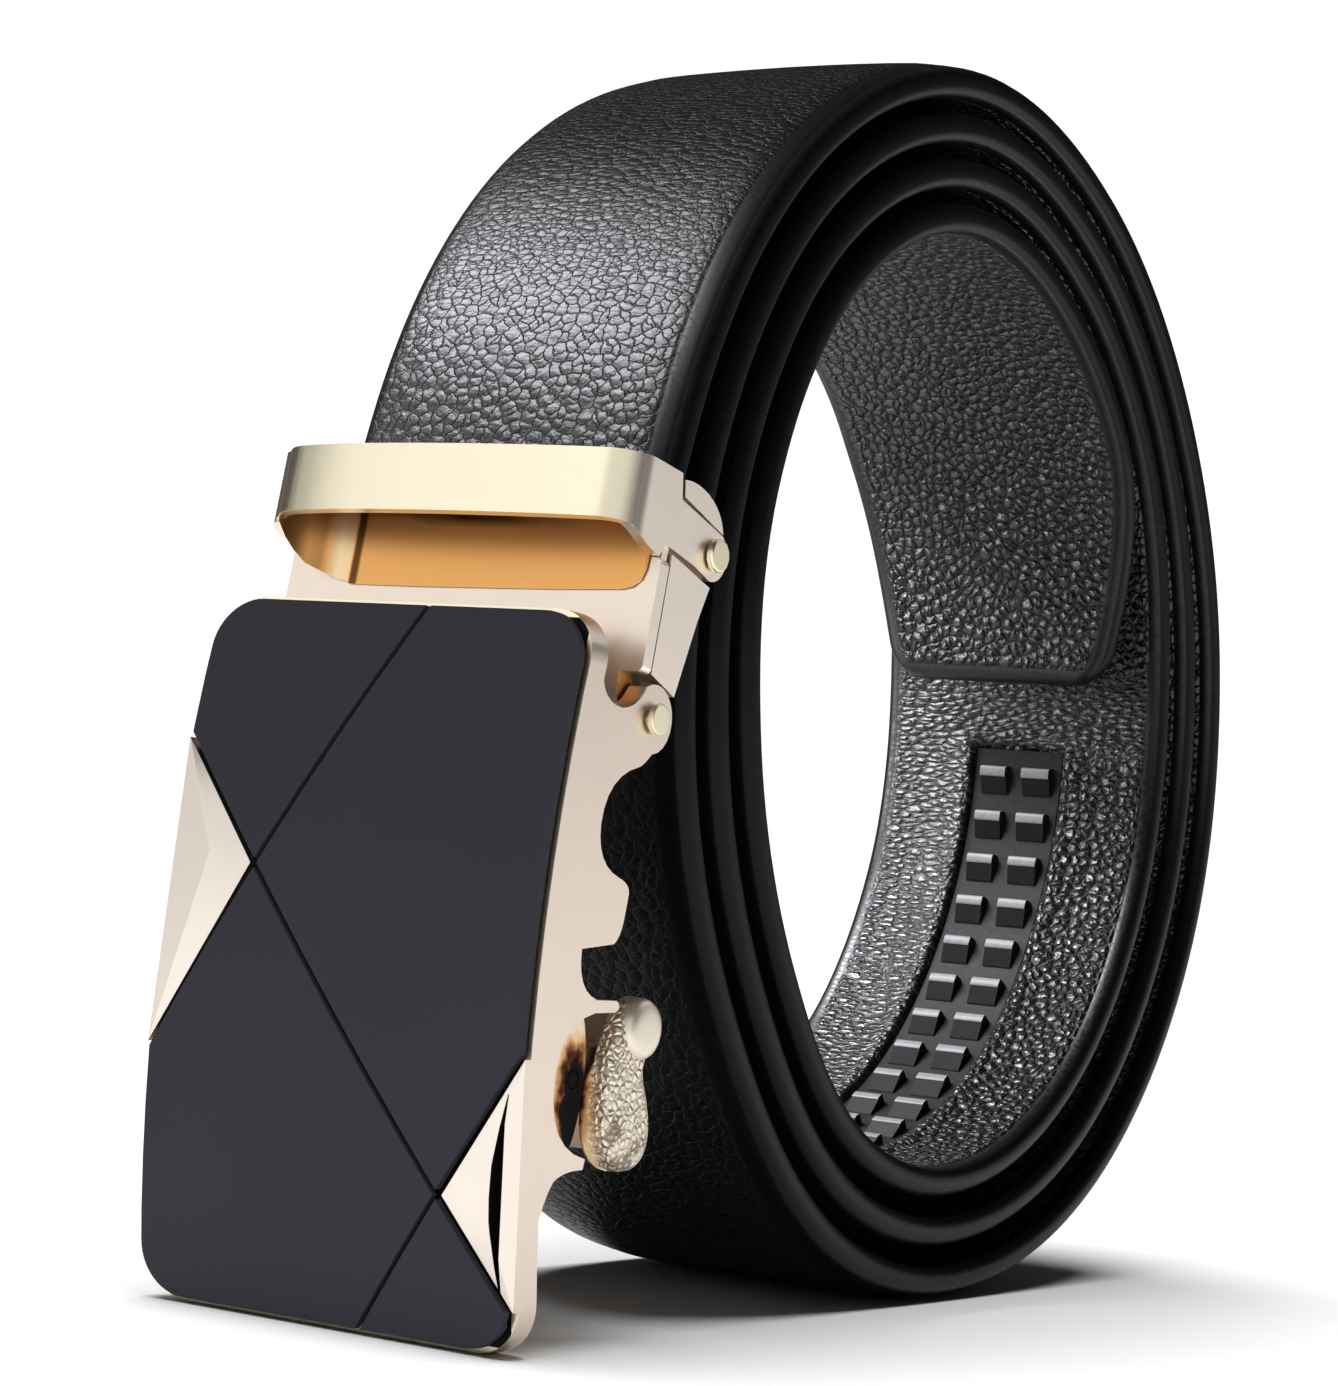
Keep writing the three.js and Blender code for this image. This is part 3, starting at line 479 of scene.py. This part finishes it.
def bar_along(rows):
    """A closed bar through sections of four corners: angle, x0, x1, lower and upper height."""
    bpy.ops.object.select_all(action="DESELECT")
    bpy.ops.mesh.primitive_grid_add(x_subdivisions=4, y_subdivisions=len(rows) - 1, size=1)
    bar = bpy.context.active_object
    for k, (angle, x0, x1, low, high) in enumerate(rows):
        ring = ((x0, low), (x1, low), (x1, high), (x0, high), (x0, low))
        for j, (x, height) in enumerate(ring):
            bar.data.vertices[k * len(ring) + j].co = strap_place(angle, x, height)
    bpy.ops.object.mode_set(mode="EDIT")
    bpy.ops.mesh.select_all(action="SELECT")
    bpy.ops.mesh.remove_doubles(threshold=1e-6)
    bpy.ops.mesh.fill_holes(sides=0)
    bpy.ops.mesh.normals_make_consistent(inside=False)
    bpy.ops.object.mode_set(mode="OBJECT")
    bpy.ops.object.shade_smooth_by_angle(angle=math.radians(50))
    bar.data.materials.append(black_nylon)
    bar.data.materials.append(crest_highlight_nylon)
    return bar


def round_edges(piece, width, segments=2, corner=30):
    """Rounds the sharp edges of a piece and shades it by angle, with its flat faces kept flat."""
    select_only(piece)
    bevel = piece.modifiers.new("round_edges", "BEVEL")
    bevel.width = width * mm
    bevel.segments = segments
    bevel.limit_method = "ANGLE"
    bevel.angle_limit = math.radians(corner)
    bevel.miter_outer = "MITER_ARC"
    bpy.ops.object.modifier_apply(modifier=bevel.name)
    bpy.ops.object.shade_smooth_by_angle(angle=math.radians(38))
    flat = piece.modifiers.new("keep_flats_flat", "WEIGHTED_NORMAL")
    flat.keep_sharp = True
    bpy.ops.object.modifier_apply(modifier=flat.name)


tooth_angles = [track_start]
for _ in range(tooth_count):
    tooth_angles.append(walk(tooth_angles[-1], tooth_pitch))
base_rows = []
for near, far in zip(tooth_angles, tooth_angles[1:]):
    for share in (0, 0.25, 0.5, 0.75):
        base_rows.append((near + share * (far - near), -track_half, track_half, track_base, track_floor))
track = bar_along(base_rows)
track.name = "nylon_track"
round_edges(track, 0.1)
teeth = []
for near, far in zip(tooth_angles, tooth_angles[1:]):
    for x0, x1 in tooth_columns:
        rows = [(near + share * (far - near), x0, x1, track_base - tooth_height * rise,
                 track_base + tooth_root) for share, rise in tooth_profile]
        tooth = bar_along(rows)
        # The crest is the part that looks inwards between these rows of the profile, and is painted lighter
        # as a painted highlight
        crest_start, crest_end = (strap_place(rows[k][0], 0, 0) for k in crest_rows)
        along = crest_end - crest_start
        for face in tooth.data.polygons:
            share = (face.center - crest_start).dot(along) / along.length_squared
            inward = (coil_centre * mm - face.center).normalized()
            if -0.05 < share < 1 and Vector((0, *inward[1:])).dot(face.normal) > 0.2:
                face.material_index = 1
        teeth.append(tooth)
select_only(track)
for tooth in teeth:
    tooth.select_set(True)
bpy.ops.object.join()
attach(track, "belt")
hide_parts("ratchet_track")


# Keeper loop
# Cast zinc alloy with pale gold plating: a band that the strap's end passes through, on the
# front plate of the clamp. The inside of the band is polished and painted a deeper gold, a painted
# reflection of the gold in itself. Its sides at the back have a brighter copy of the champagne
# gold, as painted light.
hinge = Vector((-0.075, -55.430, 53.673))
clamp_lean = Matrix.Rotation(math.radians(-9.126), 3, "X")
frame_lean = Matrix.Rotation(math.radians(-2.226), 3, "X")
# In millimetres from the hinge, with the piece set upright, as all sizes of the metal pieces are
band_foot = 13.6
band_back, band_front = -8, -9.45
band_inner_half = 19.1
bend_above = 14
bend_from, bend_to = 6.5, 9.2
band_crown = 0.7
crown_half = 16.5
left_bow = 0.008
left_bow_start = -9
# The band bends between these cuts, which stand closer on the left
band_cuts = (*range(-19, -8), *range(-8, 17, 2))


def gold(name, colour, roughness, deep=0.05):
    """Plated metal: its tone and gloss vary a little, as on a cast piece polished by hand."""
    made, tree, shader = material(name)
    peel = noise(tree, 2500, 2)
    deeper = [c * (1 - deep) for c in colour]
    set_up(tree, shader, Metallic=1, Base_Color=blend(tree, noise(tree, 120, 3), (*deeper, 1), (*colour, 1)),
           Roughness=remap(tree, peel, roughness - 0.03, roughness + 0.04), Normal=relief(tree, peel, 0.002))
    return made


def copy_of(name, finished):
    """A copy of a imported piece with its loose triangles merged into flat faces."""
    piece = bpy.data.objects.new(finished, nodes[name].data.copy())
    scene.collection.objects.link(piece)
    piece.data.materials.clear()
    select_only(piece)
    bpy.ops.mesh.customdata_custom_splitnormals_clear()
    bpy.ops.object.mode_set(mode="EDIT")
    bpy.ops.mesh.select_all(action="SELECT")
    bpy.ops.mesh.remove_doubles(threshold=2e-6)
    bpy.ops.mesh.dissolve_limited(angle_limit=math.radians(1))
    bpy.ops.object.mode_set(mode="OBJECT")
    return piece


def cut_along(piece, lean, spot, normal):
    """Cuts the faces of a piece along a plane given upright, in millimetres from the hinge."""
    select_only(piece)
    bpy.ops.object.mode_set(mode="EDIT")
    bpy.ops.mesh.select_all(action="SELECT")
    bpy.ops.mesh.bisect(plane_co=(lean @ Vector(spot) + hinge) * mm, plane_no=lean @ Vector(normal))
    bpy.ops.object.mode_set(mode="OBJECT")


def finish_faces(piece, lean, finishes, choose):
    """Gives each face the finish chosen by its middle, upright and from the hinge, and its normal."""
    upright = lean.transposed()
    for finish in finishes:
        piece.data.materials.append(finish)
    for face in piece.data.polygons:
        spot = upright @ (face.center / mm - hinge)
        face.material_index = finishes.index(choose(spot, upright @ face.normal))


pale_gold = gold("pale_gold_plating", (0.93, 0.85, 0.64), 0.32)
champagne = gold("champagne_gold_plating", (0.84, 0.72, 0.61), 0.34)
# A brighter copy of the champagne gold for faces that look sideways: painted light
cheek_gold = gold("cheek_gold_plating", (0.96, 0.85, 0.74), 0.36)
# Deep gold for the faces inside the band: a painted reflection of the gold in itself
reflection_amber = gold("deep_gold_inside", (0.78, 0.40, 0.13), 0.36, deep=0.1)


def keeper_finish(spot, normal):
    sideways = abs(normal.x) > 0.8
    behind_band = band_front < spot.y < band_back and spot.z > band_foot and normal.y > 0.7
    if behind_band or (sideways and abs(spot.x) < band_inner_half):
        return reflection_amber
    if spot.y > band_back:
        return cheek_gold if sideways else champagne
    return pale_gold


keeper = copy_of("keeper_loop", "gold_keeper")
for x in band_cuts:
    cut_along(keeper, clamp_lean, (x, 0, 0), (1, 0, 0))
for corner in keeper.data.vertices:
    spot = clamp_lean.transposed() @ (corner.co / mm - hinge)
    if spot.z > bend_above:
        crown = band_crown * min(1, abs(spot.x) / crown_half) ** 2
        bow = left_bow * max(0, left_bow_start - spot.x) ** 2
        spot.y += (crown + bow) * ramp(-spot.y, bend_from, bend_to)
        corner.co = (clamp_lean @ spot + hinge) * mm
round_edges(keeper, 0.2)
finish_faces(keeper, clamp_lean, (pale_gold, reflection_amber, champagne, cheek_gold), keeper_finish)
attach(keeper, "belt")
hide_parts("keeper_loop")


# Keeper lining
# The back of the keeper's opening: a sheet on the clamp's plate, curled forward at its left end,
# with a pale rounded lip along its lower edge. Its colour is painted light: deep gold as a painted
# reflection, brown as the band's painted shadow, and a painted highlight and dark line at the curl.
lining_top = 19.5
lining_thick = 0.15
lining_rows = 12
# Heights between which the band's painted shadow turns the sheet brown, raised towards the ends by the arch
band_shadow_from, band_shadow_to = 15.9, 16.5
band_shadow_arch = 14
# Plan of the sheet from right to left: x, y, the height of its lower edge and its painted light,
# from a painted highlight at 0 over deep gold as a painted reflection at 0.5 to painted shade at 1
lining_path = (
    (18.75, -3.3, 13.4, 0.7), (18.7, -3.34, 12.3, 0.6), (18.35, -3.36, 11.35, 0.5), (17.6, -3.36, 10.75, 0.5),
    (16.6, -3.36, 10.5, 0.5), (12, -3.36, 10.35, 0.5), (7, -3.36, 10.25, 0.5), (3, -3.36, 10.2, 0.5),
    (-1, -3.36, 10.15, 0.5), (-5, -3.36, 10.1, 0.5), (-8.5, -3.36, 10.1, 0.5), (-11.9, -3.36, 10.1, 0.5),
    (-12.2, -3.36, 10.1, 0.95), (-12.8, -3.36, 10.1, 0.95), (-13.1, -3.4, 10.3, 0.2),
    (-14.3, -3.6, 10.55, 0.05), (-15.2, -3.95, 10.85, 0.4), (-16, -4.2, 11.1, 0.7), (-17.1, -4.9, 11.5, 0.6),
    (-17.9, -5.8, 12.4, 0.75), (-18.4, -6.8, 13.4, 0.8), (-18.6, -7.8, 14.5, 0.8))


def colours_along(tree, value, stops):
    """Colour that runs through stops, each a share and a colour, as a value goes from 0 to 1."""
    node = add_node(tree, "ShaderNodeValToRGB", Fac=value)
    points = node.color_ramp.elements
    points[0].position, points[0].color = stops[0]
    points[1].position, points[1].color = stops[-1]
    for share, colour in stops[1:-1]:
        points.new(share).color = colour
    return node.outputs["Color"]


def lining_finish(spot, normal):
    return pale_gold if normal.z < -0.35 and abs(normal.y) < 0.9 else painted_light_gold


bpy.ops.object.select_all(action="DESELECT")
bpy.ops.mesh.primitive_grid_add(x_subdivisions=len(lining_path) - 1, y_subdivisions=lining_rows, size=1)
lining = bpy.context.active_object
lining.name = "gold_keeper_lining"
painted_light = lining.data.attributes.new("painted_light", "FLOAT", "POINT")
for row in range(lining_rows + 1):
    for k, (x, y, low, painted_tone) in enumerate(lining_path):
        height = low + (lining_top - low) * (row / lining_rows)
        arch = (x / band_shadow_arch) ** 2
        corner = row * len(lining_path) + k
        lining.data.vertices[corner].co = (clamp_lean @ Vector((x, y, height)) + hinge) * mm
        painted_light.data[corner].value = painted_tone + (1 - painted_tone) * ramp(height, band_shadow_from + arch, band_shadow_to + arch)
thicken = lining.modifiers.new("thicken", "SOLIDIFY")
thicken.thickness = lining_thick * mm
thicken.offset = 0
select_only(lining)
bpy.ops.object.modifier_apply(modifier=thicken.name)
round_edges(lining, 0.1, corner=50)
# The sheet's painted light: a pale painted highlight, deep gold as a painted reflection, brown as painted
# shade
painted_light_gold, painted_light_tree, painted_light_shader = material("lining_painted_light")
painted_light_at = add_node(painted_light_tree, "ShaderNodeAttribute", attribute_name="painted_light").outputs["Fac"]
painted_light_tones = ((0, (0.95, 0.76, 0.47, 1)), (0.5, (0.78, 0.40, 0.13, 1)), (1, (0.06, 0.022, 0.008, 1)))
set_up(painted_light_tree, painted_light_shader, Metallic=1,
       Base_Color=colours_along(painted_light_tree, painted_light_at, painted_light_tones),
       Roughness=remap(painted_light_tree, noise(painted_light_tree, 2500, 2), 0.34, 0.4))
finish_faces(lining, clamp_lean, (painted_light_gold, pale_gold), lining_finish)
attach(lining, "belt")


# Clamp jaw
# A stamped plate with two cheeks, which turns on the upper rivets and grips the strap's end.
# It has a brighter copy of the buckle's champagne gold plating, as painted light, and the seam
# beside the keeper is painted dark, as painted shade.
cheek_inner = 18.8
# Dark gold for the jaw's faces in the seam beside the keeper: painted shade
seam_shade_gold = gold("gold_in_seam", (0.3, 0.2, 0.13), 0.4)


def jaw_finish(spot, normal):
    beside_seam = abs(spot.x) > cheek_inner and (normal.y < -0.6 or normal.z > 0.8)
    return seam_shade_gold if beside_seam else cheek_gold


jaw = copy_of("clamp_jaw", "gold_clamp_jaw")
round_edges(jaw, 0.2)
finish_faces(jaw, clamp_lean, (cheek_gold, seam_shade_gold), jaw_finish)
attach(jaw, "belt")
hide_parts("clamp_jaw")


# Rivets
# Four turned rivets with domed heads: the upper two hold the jaw, the lower two are the hinge
# between the clamp and the buckle.
for node, body in (("jaw_rivet_right", "belt"), ("jaw_rivet_left", "belt"),
                   ("hinge_rivet_right", "buckle"), ("hinge_rivet_left", "buckle")):
    rivet = copy_of(node, "gold_" + node)
    round_edges(rivet, 0.3, segments=4)
    rivet.data.materials.append(pale_gold)
    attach(rivet, body)
    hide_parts(node)


# Buckle frame
# One zinc alloy casting: the bowed plate, its two side walls with their cut-outs and the raised
# gold facets. The grooves between the lacquered panels are painted dark as painted shade, and so
# is the scoop beside the right facet.
plate_half = 20
plate_low, plate_high = -54, 8
plate_front, plate_bow = 14.2, 3.2
panel_thick = 0.8
rim_width = 0.75
groove_floor = 1.25
rim_floor = 1.8
scoop_left, scoop_right = 16.6, 18.75
scoop_low, scoop_high = -50, -32
scoop_lip = 0.7
pocket_floor_half = 19.6
pocket_low, pocket_high = -38.4, -24.9
pocket_front = -9.4
pocket_middle = (frame_lean @ Vector((0, -4.1, -32.6)) + hinge) * mm
# The painted shade is an oval seen from the side, whose edge is blotted by up to this many millimetres
shade_oval = (0, 1.45, 0.8)
shade_blot = 4
shade_from, shade_to = 4.3, 7.4
# Each wall's round pocket carries painted shade: it turns from near-black behind the thumb pad
# through amber to cream at the pocket's rim, by these shares of the way
shade_tones = ((0.12, (0.006, 0.004, 0.004, 1)), (0.27, (0.12, 0.035, 0.012, 1)),
               (0.45, (0.5, 0.22, 0.07, 1)), (0.7, (0.78, 0.5, 0.25, 1)), (1, (0.88, 0.72, 0.55, 1)))

# Near-black in the grooves between the panels, whose gold floor lies in shade: painted shade
groove_shade = gold("painted_groove_shade", (0.012, 0.012, 0.013), 0.5)
facet_gold = gold("facet_gold", (0.86, 0.775, 0.69), 0.3)
# Near-black brown in the scoop beside the right facet: painted shade
scoop_shade = gold("painted_scoop_shade", (0.09, 0.062, 0.055), 0.4)
# Painted shade in the pockets, darkest round the lever pin
shaded_pocket_gold, pocket_tree, pocket_shader = material("painted_pocket_shade")
place = add_node(pocket_tree, "ShaderNodeTexCoord").outputs["Object"]
from_middle = add_node(pocket_tree, "ShaderNodeMapping", Vector=place, Location=-pocket_middle)
side_view = calculate(pocket_tree, "MULTIPLY", from_middle.outputs["Vector"], shade_oval,
                      kind="ShaderNodeVectorMath")
reach = add_node(pocket_tree, "ShaderNodeVectorMath", operation="LENGTH", Vector=side_view).outputs["Value"]
blotted = calculate(pocket_tree, "MULTIPLY_ADD", noise(pocket_tree, 520, 2, 0.6), shade_blot * mm, reach)
unshaded = remap(pocket_tree, blotted, 0, 1, shade_from * mm, shade_to * mm)
set_up(pocket_tree, pocket_shader, Specular_IOR_Level=0.02, Roughness=0.35, Metallic=unshaded,
       Base_Color=colours_along(pocket_tree, unshaded, shade_tones))


def face_depth(spot):
    """How far a place lies behind the bowed face."""
    share = (spot.z - (plate_low + plate_high) / 2) / ((plate_high - plate_low) / 2)
    return spot.y + plate_front - plate_bow * share ** 2


def buckle_finish(spot, normal):
    depth = face_depth(spot)
    within_sides = abs(spot.x) < plate_half - rim_width
    within_ends = plate_low + rim_width < spot.z < plate_high - rim_width
    in_scoop = scoop_left < spot.x < scoop_right and scoop_low < spot.z < scoop_high and depth < rim_floor
    in_pocket = abs(spot.x) < pocket_floor_half and pocket_low < spot.z < pocket_high
    if in_pocket and spot.y > pocket_front:
        return shaded_pocket_gold
    if in_scoop and (normal.y > -0.85 or depth > scoop_lip):
        return scoop_shade
    if depth < panel_thick + 0.05 and normal.y < -0.3:
        return facet_gold
    if depth < groove_floor and normal.y < -0.9 and within_sides and within_ends:
        return groove_shade
    return pale_gold if depth < rim_floor and normal.y < -0.6 else champagne


buckle = copy_of("buckle_frame", "gold_buckle_frame")
for spot, normal in (((plate_half - rim_width, 0, 0), (1, 0, 0)), ((rim_width - plate_half, 0, 0), (1, 0, 0)),
                     ((0, 0, plate_low + rim_width), (0, 0, 1)), ((0, 0, plate_high - rim_width), (0, 0, 1))):
    cut_along(buckle, frame_lean, spot, normal)
round_edges(buckle, 0.15)
finish_faces(buckle, frame_lean, (champagne, groove_shade, facet_gold, pale_gold, shaded_pocket_gold, scoop_shade),
             buckle_finish)
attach(buckle, "buckle")
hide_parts("buckle_frame")


# Face panels
# Four thin plates with dark slate lacquer, let into the buckle's face with fine grooves between.
panel_count = 4
slate, slate_tree, slate_shader = material("slate_lacquer")
cloud = noise(slate_tree, 60, 3)
peel = noise(slate_tree, 2500, 2)
set_up(slate_tree, slate_shader, Specular_IOR_Level=0.08,
       Base_Color=blend(slate_tree, cloud, (0.03, 0.0285, 0.036, 1), (0.034, 0.0325, 0.041, 1)),
       Roughness=remap(slate_tree, peel, 0.42, 0.52), Normal=relief(slate_tree, peel, 0.01))
for number in range(1, panel_count + 1):
    node = f"face_panel_{number}"
    panel = copy_of(node, "slate_" + node)
    round_edges(panel, 0.1)
    panel.data.materials.append(slate)
    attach(panel, "buckle")
    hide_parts(node)


# Lever pin
# A plain steel rod through the pockets of both walls, plated, with the same painted shade as them.
lever_pin = copy_of("lever_pin", "gold_lever_pin")
round_edges(lever_pin, 0.15)
lever_pin.data.materials.append(shaded_pocket_gold)
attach(lever_pin, "buckle")
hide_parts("lever_pin")


# Release lever
# A bar behind the plate with an ear at each end, cast in one piece. Its right end passes the wall
# and carries the thumb pad.
pad_root = 18.3
ear_inner = 17.7


# The lever's ear beyond the wall carries the pockets' painted shade
def lever_finish(spot, normal):
    return shaded_pocket_gold if spot.x > ear_inner else champagne


lever = copy_of("release_lever", "gold_release_lever")
select_only(lever)
bpy.ops.object.mode_set(mode="EDIT")
bpy.ops.mesh.select_all(action="SELECT")
bpy.ops.mesh.bisect(plane_co=((hinge.x + pad_root) * mm, 0, 0), plane_no=(1, 0, 0), clear_outer=True,
                    use_fill=True)
bpy.ops.object.mode_set(mode="OBJECT")
round_edges(lever, 0.25)
finish_faces(lever, frame_lean, (champagne, shaded_pocket_gold), lever_finish)
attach(lever, "lever")
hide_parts("release_lever")


# Thumb pad
# The end of the lever outside the wall: a long cushion cast with rough scales for grip, under a
# smooth round thumb rest. Both are cast with the lever and plated.
pad_in = pad_root - 0.1
pad_out = 20.35
rest_out = 20.85
# Outlines seen from the right, as distances behind and over the hinge
pad_outline = ((2.4, -23.9), (0.9, -24.7), (-0.1, -26.5), (-0.8, -28.7), (-1.1, -30.8), (-1.1, -33),
               (-0.7, -35.3), (0.3, -37.2), (1.8, -38.3), (3.6, -38.55), (5.3, -38), (6.2, -36.6),
               (6.1, -34.6), (5.4, -32.6), (4.5, -30.8), (4.0, -29.2), (4.3, -27.4), (4.1, -25.4))
rest_outline = ((3.3, -23.6), (1.8, -24.0), (0.7, -25.2), (0.4, -26.8), (1.0, -28.2), (2.4, -29),
                (4.0, -28.9), (5.2, -28), (5.75, -26.6), (5.5, -25.1), (4.6, -24.1))
curve_steps = 4
# Share of the outline's size and share of the pad's thickness, ring by ring from the lever outwards
pad_rings = ((1, 0), (1, 0.35), (0.985, 0.6), (0.94, 0.78), (0.86, 0.9), (0.72, 0.96), (0.5, 0.99), (0.25, 1),
             (0.04, 1))


def cushion(name, outline, inner, outer):
    """A pad whose rim rolls over in rings from its outline at inner to its crown at outer."""
    count = len(outline) * curve_steps
    curve = []
    for k in range(count):
        i, t = k // curve_steps, k % curve_steps / curve_steps
        a, b, c, d = (Vector(outline[(i + n) % len(outline)]) for n in (-1, 0, 1, 2))
        curve.append(0.5 * (2 * b + (c - a) * t + (2 * a - 5 * b + 4 * c - d) * t * t
                            + (3 * b - a - 3 * c + d) * t ** 3))
    middle = sum(curve, Vector((0, 0))) / count
    bpy.ops.object.select_all(action="DESELECT")
    bpy.ops.mesh.primitive_cylinder_add(vertices=count, radius=1, depth=1, end_fill_type="NOTHING")
    pad = bpy.context.active_object
    pad.name = name
    bpy.ops.object.mode_set(mode="EDIT")
    bpy.ops.mesh.select_all(action="DESELECT")
    bpy.ops.object.mode_set(mode="OBJECT")
    for v in pad.data.vertices:
        v.select = v.co.z > 0
    bpy.ops.object.mode_set(mode="EDIT")
    for _ in pad_rings[2:]:
        bpy.ops.mesh.extrude_region_move(TRANSFORM_OT_translate={"value": (0, 0, 1)})
    bpy.ops.mesh.fill()
    bpy.ops.object.mode_set(mode="OBJECT")
    for v in pad.data.vertices:
        share, rise = pad_rings[round(v.co.z + 0.5)]
        turn = round((math.atan2(v.co.x, v.co.y) / math.tau % 1) * count) % count
        spot = middle + (curve[turn] - middle) * share
        x = inner + (outer - inner) * rise
        v.co = (frame_lean @ Vector((x, spot.x, spot.y)) + hinge) * mm
    bpy.ops.object.mode_set(mode="EDIT")
    bpy.ops.mesh.select_all(action="SELECT")
    bpy.ops.mesh.fill_holes(sides=0)
    bpy.ops.mesh.normals_make_consistent(inside=False)
    bpy.ops.object.mode_set(mode="OBJECT")
    bpy.ops.object.shade_smooth_by_angle(angle=math.radians(50))
    return pad


scaled_gold, scaled_tree, scaled_shader = material("scaled_gold_pad")
place = add_node(scaled_tree, "ShaderNodeTexCoord").outputs["Object"]
scales = add_node(scaled_tree, "ShaderNodeTexVoronoi", feature="DISTANCE_TO_EDGE", Vector=place,
                  Scale=1450).outputs["Distance"]
domes = remap(scaled_tree, scales, 0, 1, end=0.35, curve="SMOOTHSTEP")
# The creases between the scales are darker, over a reach that varies at random
crease_dark_reach = remap(scaled_tree, noise(scaled_tree, 420, 1), 0.04, 0.4, 0.52, 0.66, "SMOOTHSTEP")
off_crease = remap(scaled_tree, scales, 0, 1, end=crease_dark_reach, curve="SMOOTHSTEP")
set_up(scaled_tree, scaled_shader, Metallic=1,
       Base_Color=blend(scaled_tree, off_crease, (0.28, 0.21, 0.16, 1), (0.90, 0.81, 0.66, 1)),
       Roughness=remap(scaled_tree, domes, 0.45, 0.34), Normal=relief(scaled_tree, domes, 0.1))
thumb_pad = cushion("gold_thumb_pad", pad_outline, pad_in, pad_out)
thumb_pad.data.materials.append(scaled_gold)
thumb_rest = cushion("gold_thumb_rest", rest_outline, pad_in, rest_out)
thumb_rest.data.materials.append(gold("worn_gold", (0.9, 0.83, 0.69), 0.48))
for piece in (thumb_pad, thumb_rest):
    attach(piece, "lever")
    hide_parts("release_lever")


# Pawl
# A small plated wedge under the lever's bar, which catches the teeth of the track.
pawl = copy_of("pawl", "gold_pawl")
round_edges(pawl, 0.2)
pawl.data.materials.append(champagne)
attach(pawl, "lever")
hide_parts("pawl")


# Light
# A studio whose white walls are seen but lit dimly. Each lamp shines on one group of pieces: one
# overhead leaves the belt's soft shadow on the floor, a soft box up on the left gives the leather
# its sheen, and cards are mirrored in the gold.
white = (1, 1, 1, 1)
cool = (0.95, 0.96, 1)
belt_middle = Vector((0, -0.03, 0.06))
world = bpy.data.worlds.new("white_studio")
scene.world = world
world.use_nodes = True
walls = world.node_tree
dim_walls = set_up(walls, walls.nodes["Background"], Color=white, Strength=0.03)
seen_walls = add_node(walls, "ShaderNodeBackground", Color=white, Strength=1.1)
ray = add_node(walls, "ShaderNodeLightPath")
either = add_node(walls, "ShaderNodeMixShader", Fac=ray.outputs["Is Camera Ray"])
feed(walls, either.inputs[1], dim_walls.outputs["Background"])
feed(walls, either.inputs[2], seen_walls.outputs["Background"])
feed(walls, walls.nodes["World Output"].inputs["Surface"], either.outputs["Shader"])


def add_lamp(name, kind, toward, lit_pieces):
    """A lamp a metre from the belt in a direction, which lights only the pieces given."""
    lamp_data = bpy.data.lights.new(name, kind)
    lamp = bpy.data.objects.new(name, lamp_data)
    scene.collection.objects.link(lamp)
    lamp.location = belt_middle + Vector(toward).normalized()
    lamp.rotation_euler = Vector(toward).to_track_quat("Z", "Y").to_euler()
    flagged = bpy.data.collections.new(name + "_lights")
    for piece in lit_pieces:
        flagged.objects.link(piece)
    lamp.light_linking.receiver_collection = flagged
    return lamp_data


def sun(name, toward, energy, spread, lit_pieces):
    """A wide soft light."""
    lamp_data = add_lamp(name, "SUN", toward, lit_pieces)
    lamp_data.energy = energy
    lamp_data.angle = math.radians(spread)


def soft_box(name, toward, size, brightness, lit_pieces, tint=(1, 1, 1)):
    """A rectangular lamp with an even brightness."""
    lamp_data = add_lamp(name, "AREA", toward, lit_pieces)
    lamp_data.shape = "RECTANGLE"
    lamp_data.size, lamp_data.size_y = size
    lamp_data.energy = brightness * math.pi * size[0] * size[1]
    lamp_data.color = tint


gold_pieces = [piece for piece in scene.objects if piece.name.startswith("gold_")]
panels = [piece for piece in scene.objects if piece.name.startswith("slate_")]
black_pieces = [strap, track]
# Direction, then energy and spread of a sun, or size in metres and brightness of a soft box
sun("overhead", (-0.07, -0.05, 1), 4.1, 46, [floor])
sun("face_fill", (0.5, -0.75, 0.45), 2.2, 60, panels)
soft_box("key_box", (-0.52, -0.37, 0.765), (0.8, 0.34), 39, black_pieces, cool)
soft_box("grain_card", (-0.82, -0.55, 0.14), (0.35, 0.35), 22, black_pieces, cool)
soft_box("front_card", (-0.56, -0.72, 0.42), (0.7, 1), 1.13, gold_pieces)
soft_box("side_card", (0.59, 0.81, 0.06), (0.6, 0.5), 0.54, gold_pieces)
soft_box("back_card", (0.35, 0.6, 0.72), (0.9, 0.7), 0.8, gold_pieces)
soft_box("corner_card", (0.3, -0.93, 0.2), (1.5, 1), 0.8, gold_pieces)
soft_box("left_card", (-0.9, -0.42, 0.08), (0.6, 0.6), 0.7, [buckle])
